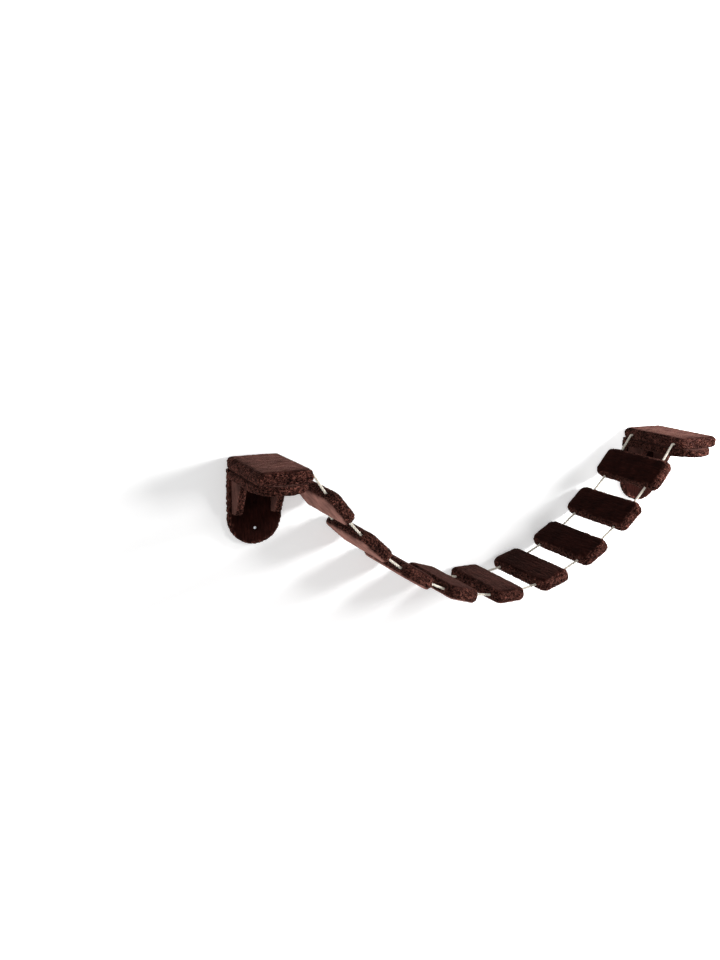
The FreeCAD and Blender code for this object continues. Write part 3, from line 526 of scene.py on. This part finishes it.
def brackets(side, seed):
    """Both brackets of a platform; each is its own closed block."""
    low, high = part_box(f"{side}_gusset_covers")
    plan = [
        (high.y + BUTT, high.z + BUTT),
        (high.y - GUSSET_REACH, high.z + BUTT),
        (high.y - GUSSET_NOSE_OUT, high.z - GUSSET_NOSE_DOWN),
        (high.y + BUTT, low.z),
    ]
    radii = [BUTT, 3 * MM, GUSSET_NOSE, BUTT]
    joined = bmesh.new()
    for i, start in enumerate((low.x, high.x - GUSSET_THICK)):
        mesh = slab_mesh(plan, radii, start, start + GUSSET_THICK, GUSSET_EDGE)
        shift = Vector((seed + i, seed * 0.3, 0))
        outline = rounded_plan(plan, radii, 0)
        grow_pile(mesh, outline, shift, deep=THIN_CLUMP_DEPTH, fold=0.0, under=BRACKET_SHEEN, over=BRACKET_SHEEN)
        joined.from_mesh(mesh)
        bpy.data.meshes.remove(mesh)
    mesh = bpy.data.meshes.new(f"{side}_gusset_plush")
    joined.to_mesh(mesh)
    joined.free()
    mesh.transform(ON_EDGE)
    mesh.materials.append(plush_down)
    mesh.shade_smooth()
    piece = bpy.data.objects.new(f"{side}_gusset_plush", mesh)
    bpy.context.scene.collection.objects.link(piece)
    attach(piece, "platforms")
    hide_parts(f"{side}_gusset_covers")


brackets("left", 3)
brackets("right", 13)
print("brackets reach", round(GUSSET_REACH / MM), "mm out of the wall board")

# %% [markdown]
# ## The steps
#
# A step is a board of about 26 by 10 cm in the same plush. It lies on both ropes, tilted as the
# rope is there. It is built flat and then turned to its slope. Each step's pile is taken from its
# own place in the noise, because nine equal steps would look printed. The cloth is drawn tight
# under a step, so its underside is smoother than its top. The underside is also painted paler, a
# painted sheen for light that glances off it.

# %% Build the nine steps
STEP_LENGTH, STEP_WIDTH, STEP_THICK = 265 * MM, 100 * MM, 38 * MM
STEP_CORNER, STEP_EDGE, STEP_CROWN = 24 * MM, 14 * MM, 1.5 * MM
STEP_PINCH, STEP_DIP = 9 * MM, 2.5 * MM

for k, (middle, _, _) in step_line.items():
    half, out = STEP_WIDTH / 2, STEP_LENGTH / 2
    box_low, box_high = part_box(f"step_{k}_cover")
    across = (box_low.y + box_high.y) / 2
    plan = [(-half, -out), (half, -out), (half, out), (-half, out)]
    holes = [(x, y - across, 0) for x in (-half, half) for y in rope_lines]
    mouths = [(hole, PINCH_INNER, STEP_PINCH, STEP_DIP) for hole in holes]
    block = (plan, [STEP_CORNER] * 4, -STEP_THICK / 2, STEP_THICK / 2, STEP_EDGE)
    place = Matrix.Translation((middle.x, across, middle.z)) @ Matrix.Rotation(-slope[k], 4, "Y")
    step = f"step_{k}_plush", f"step_{k}_cover", f"step_{k}"
    # the last value gives each step's underside the full painted sheen
    wrapped(*step, block, place, 20 + k, plush_out, 1, mouths, STEP_CROWN, 1.0)
print("steps:", STEPS, "of", round(STEP_LENGTH / MM), "x", round(STEP_WIDTH / MM), "mm")

# %% [markdown]
# ## Laid cotton rope
#
# The ropes are three-strand cotton, 7 mm thick. Each strand winds round the middle once in about
# three and a half rope diameters, which gives the slanting lobes. A twisted texture on a plain tube
# would keep a round outline, so the three strands are three tubes, each swept along its own helix.
# Each run of rope goes a little way into the plush at both ends.

# %% Make the rope's material
# a strand is spun from many yarns of about 1 mm
YARN, YARN_RELIEF = 1.0 * MM, 0.3 * MM


def cotton(name, body_colour, hollow_shade):
    """Undyed spun cotton: matt, soft and pale, with painted shade between its yarns."""
    material, tree, end = start_material(name)
    where = add(tree, "ShaderNodeTexCoord").outputs["Object"]
    yarns = add(tree, "ShaderNodeTexNoise", {"Vector": where, "Scale": 1 / YARN, "Detail": 2.0})
    shade = add(
        tree,
        "ShaderNodeMapRange",
        {"Value": yarns.outputs["Fac"], "From Min": 0.3, "From Max": 0.6},
    )
    # painted shade: where the yarns' relief is low the colour turns darker
    spun = {0: shade.outputs[0], 6: hollow_shade, 7: body_colour}
    tone = add(tree, "ShaderNodeMix", spun, data_type="RGBA")
    raised = {"Height": yarns.outputs["Fac"], "Distance": YARN_RELIEF, "Strength": 0.6}
    relief = add(tree, "ShaderNodeBump", raised)
    surface = add(
        tree,
        "ShaderNodeBsdfPrincipled",
        {
            "Base Color": tone.outputs[2],
            "Normal": relief.outputs["Normal"],
            "Roughness": 0.9,
            "Specular IOR Level": 0.2,
            "Sheen Weight": 0.15,
        },
    )
    tree.links.new(surface.outputs[0], end.inputs["Surface"])
    return material


cotton_rope = cotton("cotton rope, three-strand laid, undyed", colour("#fffaf0"), colour("#e2d6c0"))
print("rope:", cotton_rope.name)

# %% Sweep three strands along a line
ROPE = 7.0 * MM
# three equal circles that touch and fill the rope's width
STRAND_RADIUS = ROPE / 2 / (1 + 2 / math.sqrt(3))
STRAND_OUT = ROPE / 2 - STRAND_RADIUS
LAY = 3.5 * ROPE
STRAND_SIDES = 10
RING_GAP = 1.5 * MM


def even_points(points):
    """The same line as points about a ring's gap apart."""
    lengths = [0.0]
    for before, after in zip(points, points[1:]):
        lengths.append(lengths[-1] + (after - before).length)
    count = max(2, round(lengths[-1] / RING_GAP))
    xyz = np.array(points)
    wanted = np.linspace(0, lengths[-1], count + 1)
    even = [np.interp(wanted, lengths, xyz[:, axis]) for axis in range(3)]
    return [Vector(row) for row in np.stack(even, 1)]


def lay_strands(form, points, begin=0.0):
    """Adds a rope's three strands to a mesh; begin is how far along the lay it starts."""
    line = even_points(points)
    side = Vector((0, 1, 0))
    rings = [[], [], []]
    travelled = begin
    for i, point in enumerate(line):
        ahead = (line[min(i + 1, len(line) - 1)] - line[max(i - 1, 0)]).normalized()
        side = (side - ahead * side.dot(ahead)).normalized()
        up = ahead.cross(side)
        for strand in range(3):
            turn = 2 * math.pi * (travelled / LAY + strand / 3)
            out = side * math.cos(turn) + up * math.sin(turn)
            round_about = ahead.cross(out)
            centre = point + out * STRAND_OUT
            ring = []
            for corner in range(STRAND_SIDES):
                angle = 2 * math.pi * corner / STRAND_SIDES
                edge = out * math.cos(angle) + round_about * math.sin(angle)
                ring.append(form.verts.new(centre + edge * STRAND_RADIUS))
            rings[strand].append(ring)
        if i + 1 < len(line):
            travelled += (line[i + 1] - point).length
    for strand in rings:
        for before, after in zip(strand, strand[1:]):
            for i in range(STRAND_SIDES):
                form.faces.new((before[i - 1], before[i], after[i], after[i - 1]))
        form.faces.new(strand[0])
        form.faces.new(strand[-1][::-1])


def rope_piece(name, lines, begin=0.0):
    """One object with a rope along each of the lines."""
    form = bmesh.new()
    for line in lines:
        lay_strands(form, line, begin)
    bmesh.ops.recalc_face_normals(form, faces=form.faces)
    mesh = bpy.data.meshes.new(name)
    form.to_mesh(mesh)
    form.free()
    mesh.materials.append(cotton_rope)
    mesh.shade_smooth()
    piece = bpy.data.objects.new(name, mesh)
    bpy.context.scene.collection.objects.link(piece)
    return piece


print("a strand is", round(2 * STRAND_RADIUS / MM, 2), "mm thick")
print("it winds once in", round(LAY / MM, 1), "mm")

# %% Lay the ropes between the steps and inside them
# how far a free stretch goes on inside the plush
TUCK = 9 * MM
# the stretch that ends loose in the model goes deeper, because the wave opens that place a little
DEEP_TUCK = 14 * MM
OPEN_SPAN = 6
# at a platform it meets the rope's own bend and only just goes into it
SHORT_TUCK = 2 * MM


def on_line(middle, run, along, y):
    return Vector((middle.x + run.x * along, y, middle.z + run.z * along))


for k, (middle, run, reach) in span_line.items():
    before = TUCK if k > 1 else SHORT_TUCK
    after = TUCK if k < SPANS else SHORT_TUCK
    after = DEEP_TUCK if k == OPEN_SPAN else after
    ends = -reach - before, reach + after
    lines = [[on_line(middle, run, along, y) for along in ends] for y in rope_lines]
    piece = rope_piece(f"span_{k}_strands", lines, -before)
    if k == OPEN_SPAN:
        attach(piece, "span_6")
    elif k < OPEN_SPAN:
        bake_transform(piece)
    else:
        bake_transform(piece)
    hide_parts(f"span_{k}_ropes")

for k, (middle, run, reach) in step_line.items():
    ends = -reach, reach
    lines = [[on_line(middle, run, along, y) for along in ends] for y in rope_lines]
    piece = rope_piece(f"step_{k}_strands", lines)
    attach(piece, f"step_{k}")
    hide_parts(f"step_{k}_ropes")

# %% [markdown]
# ## The ropes' ends in the platforms
#
# At a platform the rope goes through a hole in the board's side and is knotted in a pocket of the
# board, so it can't pull out. Outside it bends over the plush and follows the bridge down. The knot
# is the rope wound round itself, which is a helix of about its own thickness.

# %% Lay the ends with their bends and knots
BEND = 7 * MM
BEND_PARTS = 8
KNOT_INSET, KNOT_LENGTH, KNOT_TURNS = 24 * MM, 12 * MM, 1.5
KNOT_OUT, KNOT_PARTS = 3.7 * MM, 24


def rope_end(side, out, y):
    """The line of one end from its knot to where the first free stretch starts."""
    low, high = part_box(f"{side}_top_cover")
    mouth = high.x if out > 0 else low.x
    level = low.z + ROPE_RISE
    middle, run, reach = span_line[1 if out > 0 else SPANS]
    anchor = on_line(middle, run, -reach * out, y)
    points = []
    knot_from = mouth - out * (KNOT_INSET + KNOT_LENGTH)
    for part in range(KNOT_PARTS + 1):
        share = part / KNOT_PARTS
        turn = 2 * math.pi * KNOT_TURNS * share
        wide = KNOT_OUT * (1 - smooth_share(share, 0.8, 1.0))
        x = knot_from + out * KNOT_LENGTH * share
        points.append(Vector((x, y + wide * math.sin(turn), level + wide * math.cos(turn))))
    fall = abs(math.atan2(run.z, run.x))
    for part in range(BEND_PARTS + 1):
        turn = fall * part / BEND_PARTS
        x = mouth + out * BEND * math.sin(turn)
        points.append(Vector((x, y, level - BEND * (1 - math.cos(turn)))))
    print(side, "bend ends", round((points[-1] - anchor).length / MM, 2), "mm from the free rope")
    points[-1] = anchor
    return points


for side, out in (("left", 1), ("right", -1)):
    lines = [rope_end(side, out, y) for y in rope_lines]
    piece = rope_piece(f"{side}_end_strands", lines)
    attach(piece, "platforms")
    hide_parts(f"{side}_rope_ends")

# %% [markdown]
# ## Zinc-plated screws
#
# The platforms hang on pan-head screws. The head is cold-formed from wire and then plated with
# zinc: a bluish metal with small soft marks. Its cross recess catches the light. The screw is
# turned from one profile, with a thread that climbs as it goes round, so its rings are a spiral and
# not a stack.

# %% Make the metal
GRIT, GRIT_RELIEF = 1.2 * MM, 0.05 * MM


def plated(name, tone, roughness):
    """Metal with the soft unevenness of plating."""
    material, tree, end = start_material(name)
    where = add(tree, "ShaderNodeTexCoord").outputs["Object"]
    marks = add(tree, "ShaderNodeTexNoise", {"Vector": where, "Scale": 1 / GRIT, "Detail": 3.0})
    polish = add(
        tree,
        "ShaderNodeMapRange",
        {"Value": marks.outputs["Fac"], "To Min": roughness - 0.08, "To Max": roughness + 0.12},
    )
    raised = {"Height": marks.outputs["Fac"], "Distance": GRIT_RELIEF, "Strength": 0.4}
    relief = add(tree, "ShaderNodeBump", raised)
    surface = add(
        tree,
        "ShaderNodeBsdfPrincipled",
        {
            "Base Color": tone,
            "Metallic": 1.0,
            "Roughness": polish.outputs[0],
            "Normal": relief.outputs["Normal"],
        },
    )
    tree.links.new(surface.outputs[0], end.inputs["Surface"])
    return material


zinc = plated("zinc-plated steel, cold-formed", colour("#c9ccd1"), 0.28)
print("metal:", zinc.name)

# %% Turn the wall screws
HEAD, HEAD_HEIGHT, SHANK, REACH, TIP = 9.5 * MM, 3.2 * MM, 5.0 * MM, 35 * MM, 6 * MM
NECK, BOARD_FRONT = 4.2 * MM, -15 * MM
# the head's rim is bevelled, its wall is upright up to here, and its dome has this many parts
HEAD_BEVEL, HEAD_WALL, HEAD_PARTS = 0.3 * MM, 1.4 * MM, 12
PITCH, THREAD = 2.2 * MM, 0.45 * MM
SCREW_SIDES = 32
# the cross recess: its width, its depth, half an arm's width, and the height it is cut above
CROSS, CROSS_DEPTH, CROSS_ARM, CROSS_FROM = 5.2 * MM, 1.6 * MM, 0.55 * MM, 1.5 * MM


def head_rings():
    """Distances from the axis and heights of the head, from its rim to its middle."""
    rings = [(NECK / 2, 0.0), (HEAD / 2 - HEAD_BEVEL, 0.0)]
    rings += [(HEAD / 2, HEAD_BEVEL), (HEAD / 2, HEAD_WALL)]
    dome = HEAD_HEIGHT - HEAD_WALL
    for part in range(1, HEAD_PARTS):
        turn = math.pi / 2 * part / HEAD_PARTS
        rings.append((HEAD / 2 * math.cos(turn), HEAD_WALL + dome * math.sin(turn)))
    return rings


def recess(x, z):
    """How deep the cross is cut at a place on the head."""
    arm = min(abs(x), abs(z)) / CROSS_ARM
    reach = max(abs(x), abs(z)) / (CROSS / 2)
    return CROSS_DEPTH * (1 - smooth_share(arm, 0.8, 1.4)) * (1 - smooth_share(reach, 0.75, 1.0))


def screw(form, x, z):
    """Adds one screw whose head stands on the board's front and whose tip is in the wall."""
    rings = []
    length = REACH - BOARD_FRONT
    count = round(length / (PITCH / 6))
    for i in range(count + 1):
        y = REACH - length * i / count
        ring = []
        for side in range(SCREW_SIDES):
            angle = 2 * math.pi * side / SCREW_SIDES
            wave = 0.5 + 0.5 * math.cos(2 * math.pi * y / PITCH - angle)
            thick = SHANK / 2 if y > 0 else NECK / 2
            taper = min(1.0, 0.06 + (REACH - y) / TIP)
            cut = THREAD * wave if y > 0 else 0.0
            radius = (thick - cut) * taper
            dx, dz = radius * math.cos(angle), radius * math.sin(angle)
            ring.append(form.verts.new((x + dx, y, z + dz)))
        rings.append(ring)
    for out, height in head_rings():
        ring = []
        for side in range(SCREW_SIDES):
            angle = 2 * math.pi * side / SCREW_SIDES
            dx, dz = out * math.cos(angle), out * math.sin(angle)
            deep = recess(dx, dz) if height > CROSS_FROM else 0.0
            ring.append(form.verts.new((x + dx, BOARD_FRONT - height + deep, z + dz)))
        rings.append(ring)
    for before, after in zip(rings, rings[1:]):
        for i in range(SCREW_SIDES):
            form.faces.new((before[i - 1], before[i], after[i], after[i - 1]))
    form.faces.new(rings[0])
    form.faces.new(rings[-1][::-1])


for side in ("left", "right"):
    low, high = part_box(f"{side}_wall_cover")
    form = bmesh.new()
    for z, _ in screw_lines:
        screw(form, (low.x + high.x) / 2, z)
    bmesh.ops.recalc_face_normals(form, faces=form.faces)
    mesh = bpy.data.meshes.new(f"{side}_pan_screws")
    form.to_mesh(mesh)
    form.free()
    mesh.materials.append(zinc)
    mesh.shade_smooth()
    piece = bpy.data.objects.new(f"{side}_pan_screws", mesh)
    bpy.context.scene.collection.objects.link(piece)
    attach(piece, "platforms")
    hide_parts(f"{side}_wall_screws")
    print(side, "screws:", len(mesh.vertices), "points")

# %% [markdown]
# ## The hidden boards
#
# Inside the plush are boards of poplar plywood, held together with screws. Nobody sees them, but a
# part that is taken apart shows them. Plywood is thin sheets glued with their grain crossed, so its
# faces show long grain and its edges show layers. Their shapes are right in the CAD model, so they
# only get a material.

# %% Make the plywood and give it to the boards
# poplar veneer is about 1.5 mm thick and its rings show 6 mm apart on a face
VENEER, GRAIN = 1.5 * MM, 6 * MM


def plywood(name, through, stretch):
    """Sanded poplar plywood: layers stacked along the axis through, long grain across it."""
    material, tree, end = start_material(name)
    where = add(tree, "ShaderNodeTexCoord").outputs["Object"]
    glued = {"Vector": where, "Scale": 1 / VENEER / WAVE_TURN, "Distortion": 0.6}
    layers = add(tree, "ShaderNodeTexWave", glued, bands_direction=through)
    stretched = add(tree, "ShaderNodeMapping", {"Vector": where, "Scale": stretch})
    rings = {"Vector": stretched.outputs[0], "Scale": 1 / GRAIN, "Detail": 4.0}
    grain = add(tree, "ShaderNodeTexNoise", rings)
    both = {0: layers.outputs["Fac"], 1: grain.outputs["Fac"]}
    mixed = add(tree, "ShaderNodeMath", both, operation="MULTIPLY")
    veneer = {0: mixed.outputs[0], 6: PALE_WOOD, 7: DARK_WOOD}
    tone = add(tree, "ShaderNodeMix", veneer, data_type="RGBA")
    finish = {"Base Color": tone.outputs[2], "Roughness": 0.65, "IOR": 1.5}
    surface = add(tree, "ShaderNodeBsdfPrincipled", finish)
    tree.links.new(surface.outputs[0], end.inputs["Surface"])
    return material


# a wave texture repeats this many times per unit of its scale
WAVE_TURN = 20
PALE_WOOD, DARK_WOOD = colour("#d9bd92"), colour("#a98558")
lying_plywood = plywood("poplar plywood, lying flat", "Z", (1.0, 0.12, 1.0))
wall_plywood = plywood("poplar plywood, flat on the wall", "Y", (1.0, 1.0, 0.12))
upright_plywood = plywood("poplar plywood, on edge", "X", (1.0, 1.0, 0.12))


def dress(node, material):
    node.data.materials.clear()
    node.data.materials.append(material)


for name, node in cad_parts.items():
    if name.endswith("_wall_board"):
        dress(node, wall_plywood)
    elif name.endswith("_board"):
        dress(node, lying_plywood)
    elif name.endswith("_gussets"):
        dress(node, upright_plywood)
    elif name.endswith("_joint_screws"):
        dress(node, zinc)
print("boards:", len([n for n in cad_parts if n.endswith("_board")]))

# %% [markdown]
# ## Wall, floor and light
#
# The bridge hangs on a white wall and throws soft shadows on it. The wall is plain paint, with a
# little of its own light for the camera only, so that it is white without more light on the plush.
# That light grows away from the shadows, where the lamps reach the wall less. It takes no part in
# the light that the object gets, and the wall is open from behind, so that the back of the bridge
# can be looked at too.
#
# A soft lamp far out on the right makes the streaks of shadow that lean down to the left. A smaller
# one brings up the right platform. The world's light is even, but for a broad reflector low on the
# left.

# %% Make the wall and the floor
# the wall's own light in the middle of the shadows and away from them
NEAR_GLOW, FAR_GLOW = 0.39, 0.7
SHADOWS_MIDDLE = (0.3, 0.0, -0.15)
# how far from there the glow starts to grow, and where it is full
SHADOWS_NEAR, SHADOWS_FAR = 0.6, 1.05
STIPPLE, STIPPLE_RELIEF = 3 * MM, 0.05 * MM


def paint(name, tone):
    """Matt emulsion, rolled on: seen only from its front."""
    material, tree, end = start_material(name)
    where = add(tree, "ShaderNodeTexCoord").outputs["Object"]
    rolled = {"Vector": where, "Scale": 1 / STIPPLE, "Detail": 1.0}
    stipple = add(tree, "ShaderNodeTexNoise", rolled)
    grain = {"Height": stipple.outputs["Fac"], "Distance": STIPPLE_RELIEF, "Strength": 0.2}
    relief = add(tree, "ShaderNodeBump", grain)
    matt = add(tree, "ShaderNodeBsdfDiffuse", {"Color": tone, "Normal": relief.outputs["Normal"]})
    from_shadows = {0: where, 1: SHADOWS_MIDDLE}
    away = add(tree, "ShaderNodeVectorMath", from_shadows, operation="DISTANCE")
    spread = {"Value": away.outputs["Value"], "From Min": SHADOWS_NEAR, "From Max": SHADOWS_FAR}
    spread.update({"To Min": NEAR_GLOW, "To Max": FAR_GLOW})
    level = add(tree, "ShaderNodeMapRange", spread, interpolation_type="SMOOTHSTEP")
    rays = add(tree, "ShaderNodeLightPath")
    watched = {0: rays.outputs["Is Camera Ray"], 1: level.outputs[0]}
    seen = add(tree, "ShaderNodeMath", watched, operation="MULTIPLY")
    glow = add(tree, "ShaderNodeEmission", {"Strength": seen.outputs[0]})
    front = add(tree, "ShaderNodeAddShader", {0: matt.outputs[0], 1: glow.outputs[0]})
    clear = add(tree, "ShaderNodeBsdfTransparent")
    behind = add(tree, "ShaderNodeNewGeometry").outputs["Backfacing"]
    sheet = add(tree, "ShaderNodeMixShader", {0: behind, 1: front.outputs[0], 2: clear.outputs[0]})
    tree.links.new(sheet.outputs[0], end.inputs["Surface"])
    return material


white_paint = paint("matt emulsion, rolled", colour("#ececec"))
FLOOR_LEVEL = -1.5


def stage_sheet(name, corners):
    mesh = bpy.data.meshes.new(name)
    mesh.from_pydata(corners, [], [(0, 1, 2, 3)])
    mesh.materials.append(white_paint)
    sheet = bpy.data.objects.new(name, mesh)
    bpy.context.scene.collection.objects.link(sheet)
    sheet.visible_diffuse = sheet.visible_glossy = False
    sheet.visible_transmission = sheet.visible_shadow = False


WIDE = 8.0
wall_plane = 0.5 * MM
stage_sheet(
    "wall",
    [
        (-WIDE, wall_plane, FLOOR_LEVEL),
        (WIDE, wall_plane, FLOOR_LEVEL),
        (WIDE, wall_plane, WIDE),
        (-WIDE, wall_plane, WIDE),
    ],
)
stage_sheet(
    "floor",
    [
        (-WIDE, -WIDE, FLOOR_LEVEL),
        (WIDE, -WIDE, FLOOR_LEVEL),
        (WIDE, WIDE, FLOOR_LEVEL),
        (-WIDE, WIDE, FLOOR_LEVEL),
    ],
)
print("the floor is", -FLOOR_LEVEL, "m under the left platform's screws")


# %% Light it from both sides, softly
def lamp(name, place, target, size, power):
    """A soft square lamp that faces its target."""
    data = bpy.data.lights.new(name, "AREA")
    data.shape, data.size, data.energy = "SQUARE", size, power
    light = bpy.data.objects.new(name, data)
    light.location = place
    light.rotation_mode = "QUATERNION"
    light.rotation_quaternion = (Vector(target) - Vector(place)).to_track_quat("-Z", "Y")
    bpy.context.scene.collection.objects.link(light)


bridge_middle = (0.65, -0.12, -0.05)
lamp("key softbox, right of the camera", (3.2, -3.6, 0.85), bridge_middle, 1.0, 92)
lamp("small softbox at the right end", (2.4, -0.95, 0.6), (1.3, -0.12, 0.1), 0.5, 52)

AIR_LEVEL, REFLECTOR_LEVEL = 0.34, 0.85
REFLECTOR_SIDE = (-0.83, -0.25, -0.5)
world = bpy.data.worlds.new("studio air")
bpy.context.scene.world = world
world.use_nodes = True
air = world.node_tree
air.nodes.clear()
rays = add(air, "ShaderNodeLightPath")
# a large reflector low on the left, which lights the undersides of the first steps
looking = add(air, "ShaderNodeTexCoord").outputs["Generated"]
facing = {0: looking, 1: REFLECTOR_SIDE}
towards = add(air, "ShaderNodeVectorMath", facing, operation="DOT_PRODUCT")
bounced = {"Value": towards.outputs["Value"], "From Min": 0.1}
bounced.update({"To Min": AIR_LEVEL, "To Max": REFLECTOR_LEVEL})
level = add(air, "ShaderNodeMapRange", bounced, interpolation_type="SMOOTHSTEP")
fill = add(air, "ShaderNodeBackground", {"Color": (1, 1, 1, 1), "Strength": level.outputs[0]})
seen = add(air, "ShaderNodeBackground", {"Color": (1, 1, 1, 1), "Strength": 1.0})
glossy = add(
    air,
    "ShaderNodeMath",
    {0: rays.outputs["Is Camera Ray"], 1: rays.outputs["Is Glossy Ray"]},
    operation="MAXIMUM",
)
direct = add(
    air,
    "ShaderNodeMath",
    {0: glossy.outputs[0], 1: rays.outputs["Is Transmission Ray"]},
    operation="MAXIMUM",
)
shared = {0: direct.outputs[0], 1: fill.outputs[0], 2: seen.outputs[0]}
both = add(air, "ShaderNodeMixShader", shared)
add(air, "ShaderNodeOutputWorld", {"Surface": both.outputs[0]})
bpy.context.scene.view_settings.view_transform = "Standard"

# %% [markdown]
# ## The camera
#
# The photograph was taken from the left of the bridge and a little above it. The place and the lens
# were worked out from the platforms' and steps' corners, with the model's sizes as the scale.

# %% Set the camera
YAW, PITCH_DOWN, ROLL = math.radians(25.77), math.radians(12.01), math.radians(0.62)
CAMERA_PLACE = (-0.7966, -2.3038, 0.6077)
SENSOR, LENS = 36, 35.22
ahead = math.cos(PITCH_DOWN)
forward = Vector((math.sin(YAW) * ahead, math.cos(YAW) * ahead, -math.sin(PITCH_DOWN)))
right = Vector((math.cos(YAW), -math.sin(YAW), 0))
up = right.cross(forward)
right, up = (
    right * math.cos(ROLL) + up * math.sin(ROLL),
    up * math.cos(ROLL) - right * math.sin(ROLL),
)
camera_data = bpy.data.cameras.new("camera")
camera_data.sensor_width, camera_data.lens = SENSOR, LENS
camera = bpy.data.objects.new("camera", camera_data)
bpy.context.scene.collection.objects.link(camera)
camera.matrix_world = Matrix(
    (
        (right.x, up.x, -forward.x, CAMERA_PLACE[0]),
        (right.y, up.y, -forward.y, CAMERA_PLACE[1]),
        (right.z, up.z, -forward.z, CAMERA_PLACE[2]),
        (0, 0, 0, 1),
    )
)
bpy.context.scene.camera = camera
print("the camera is", round(camera.location.length, 2), "m from the left platform")
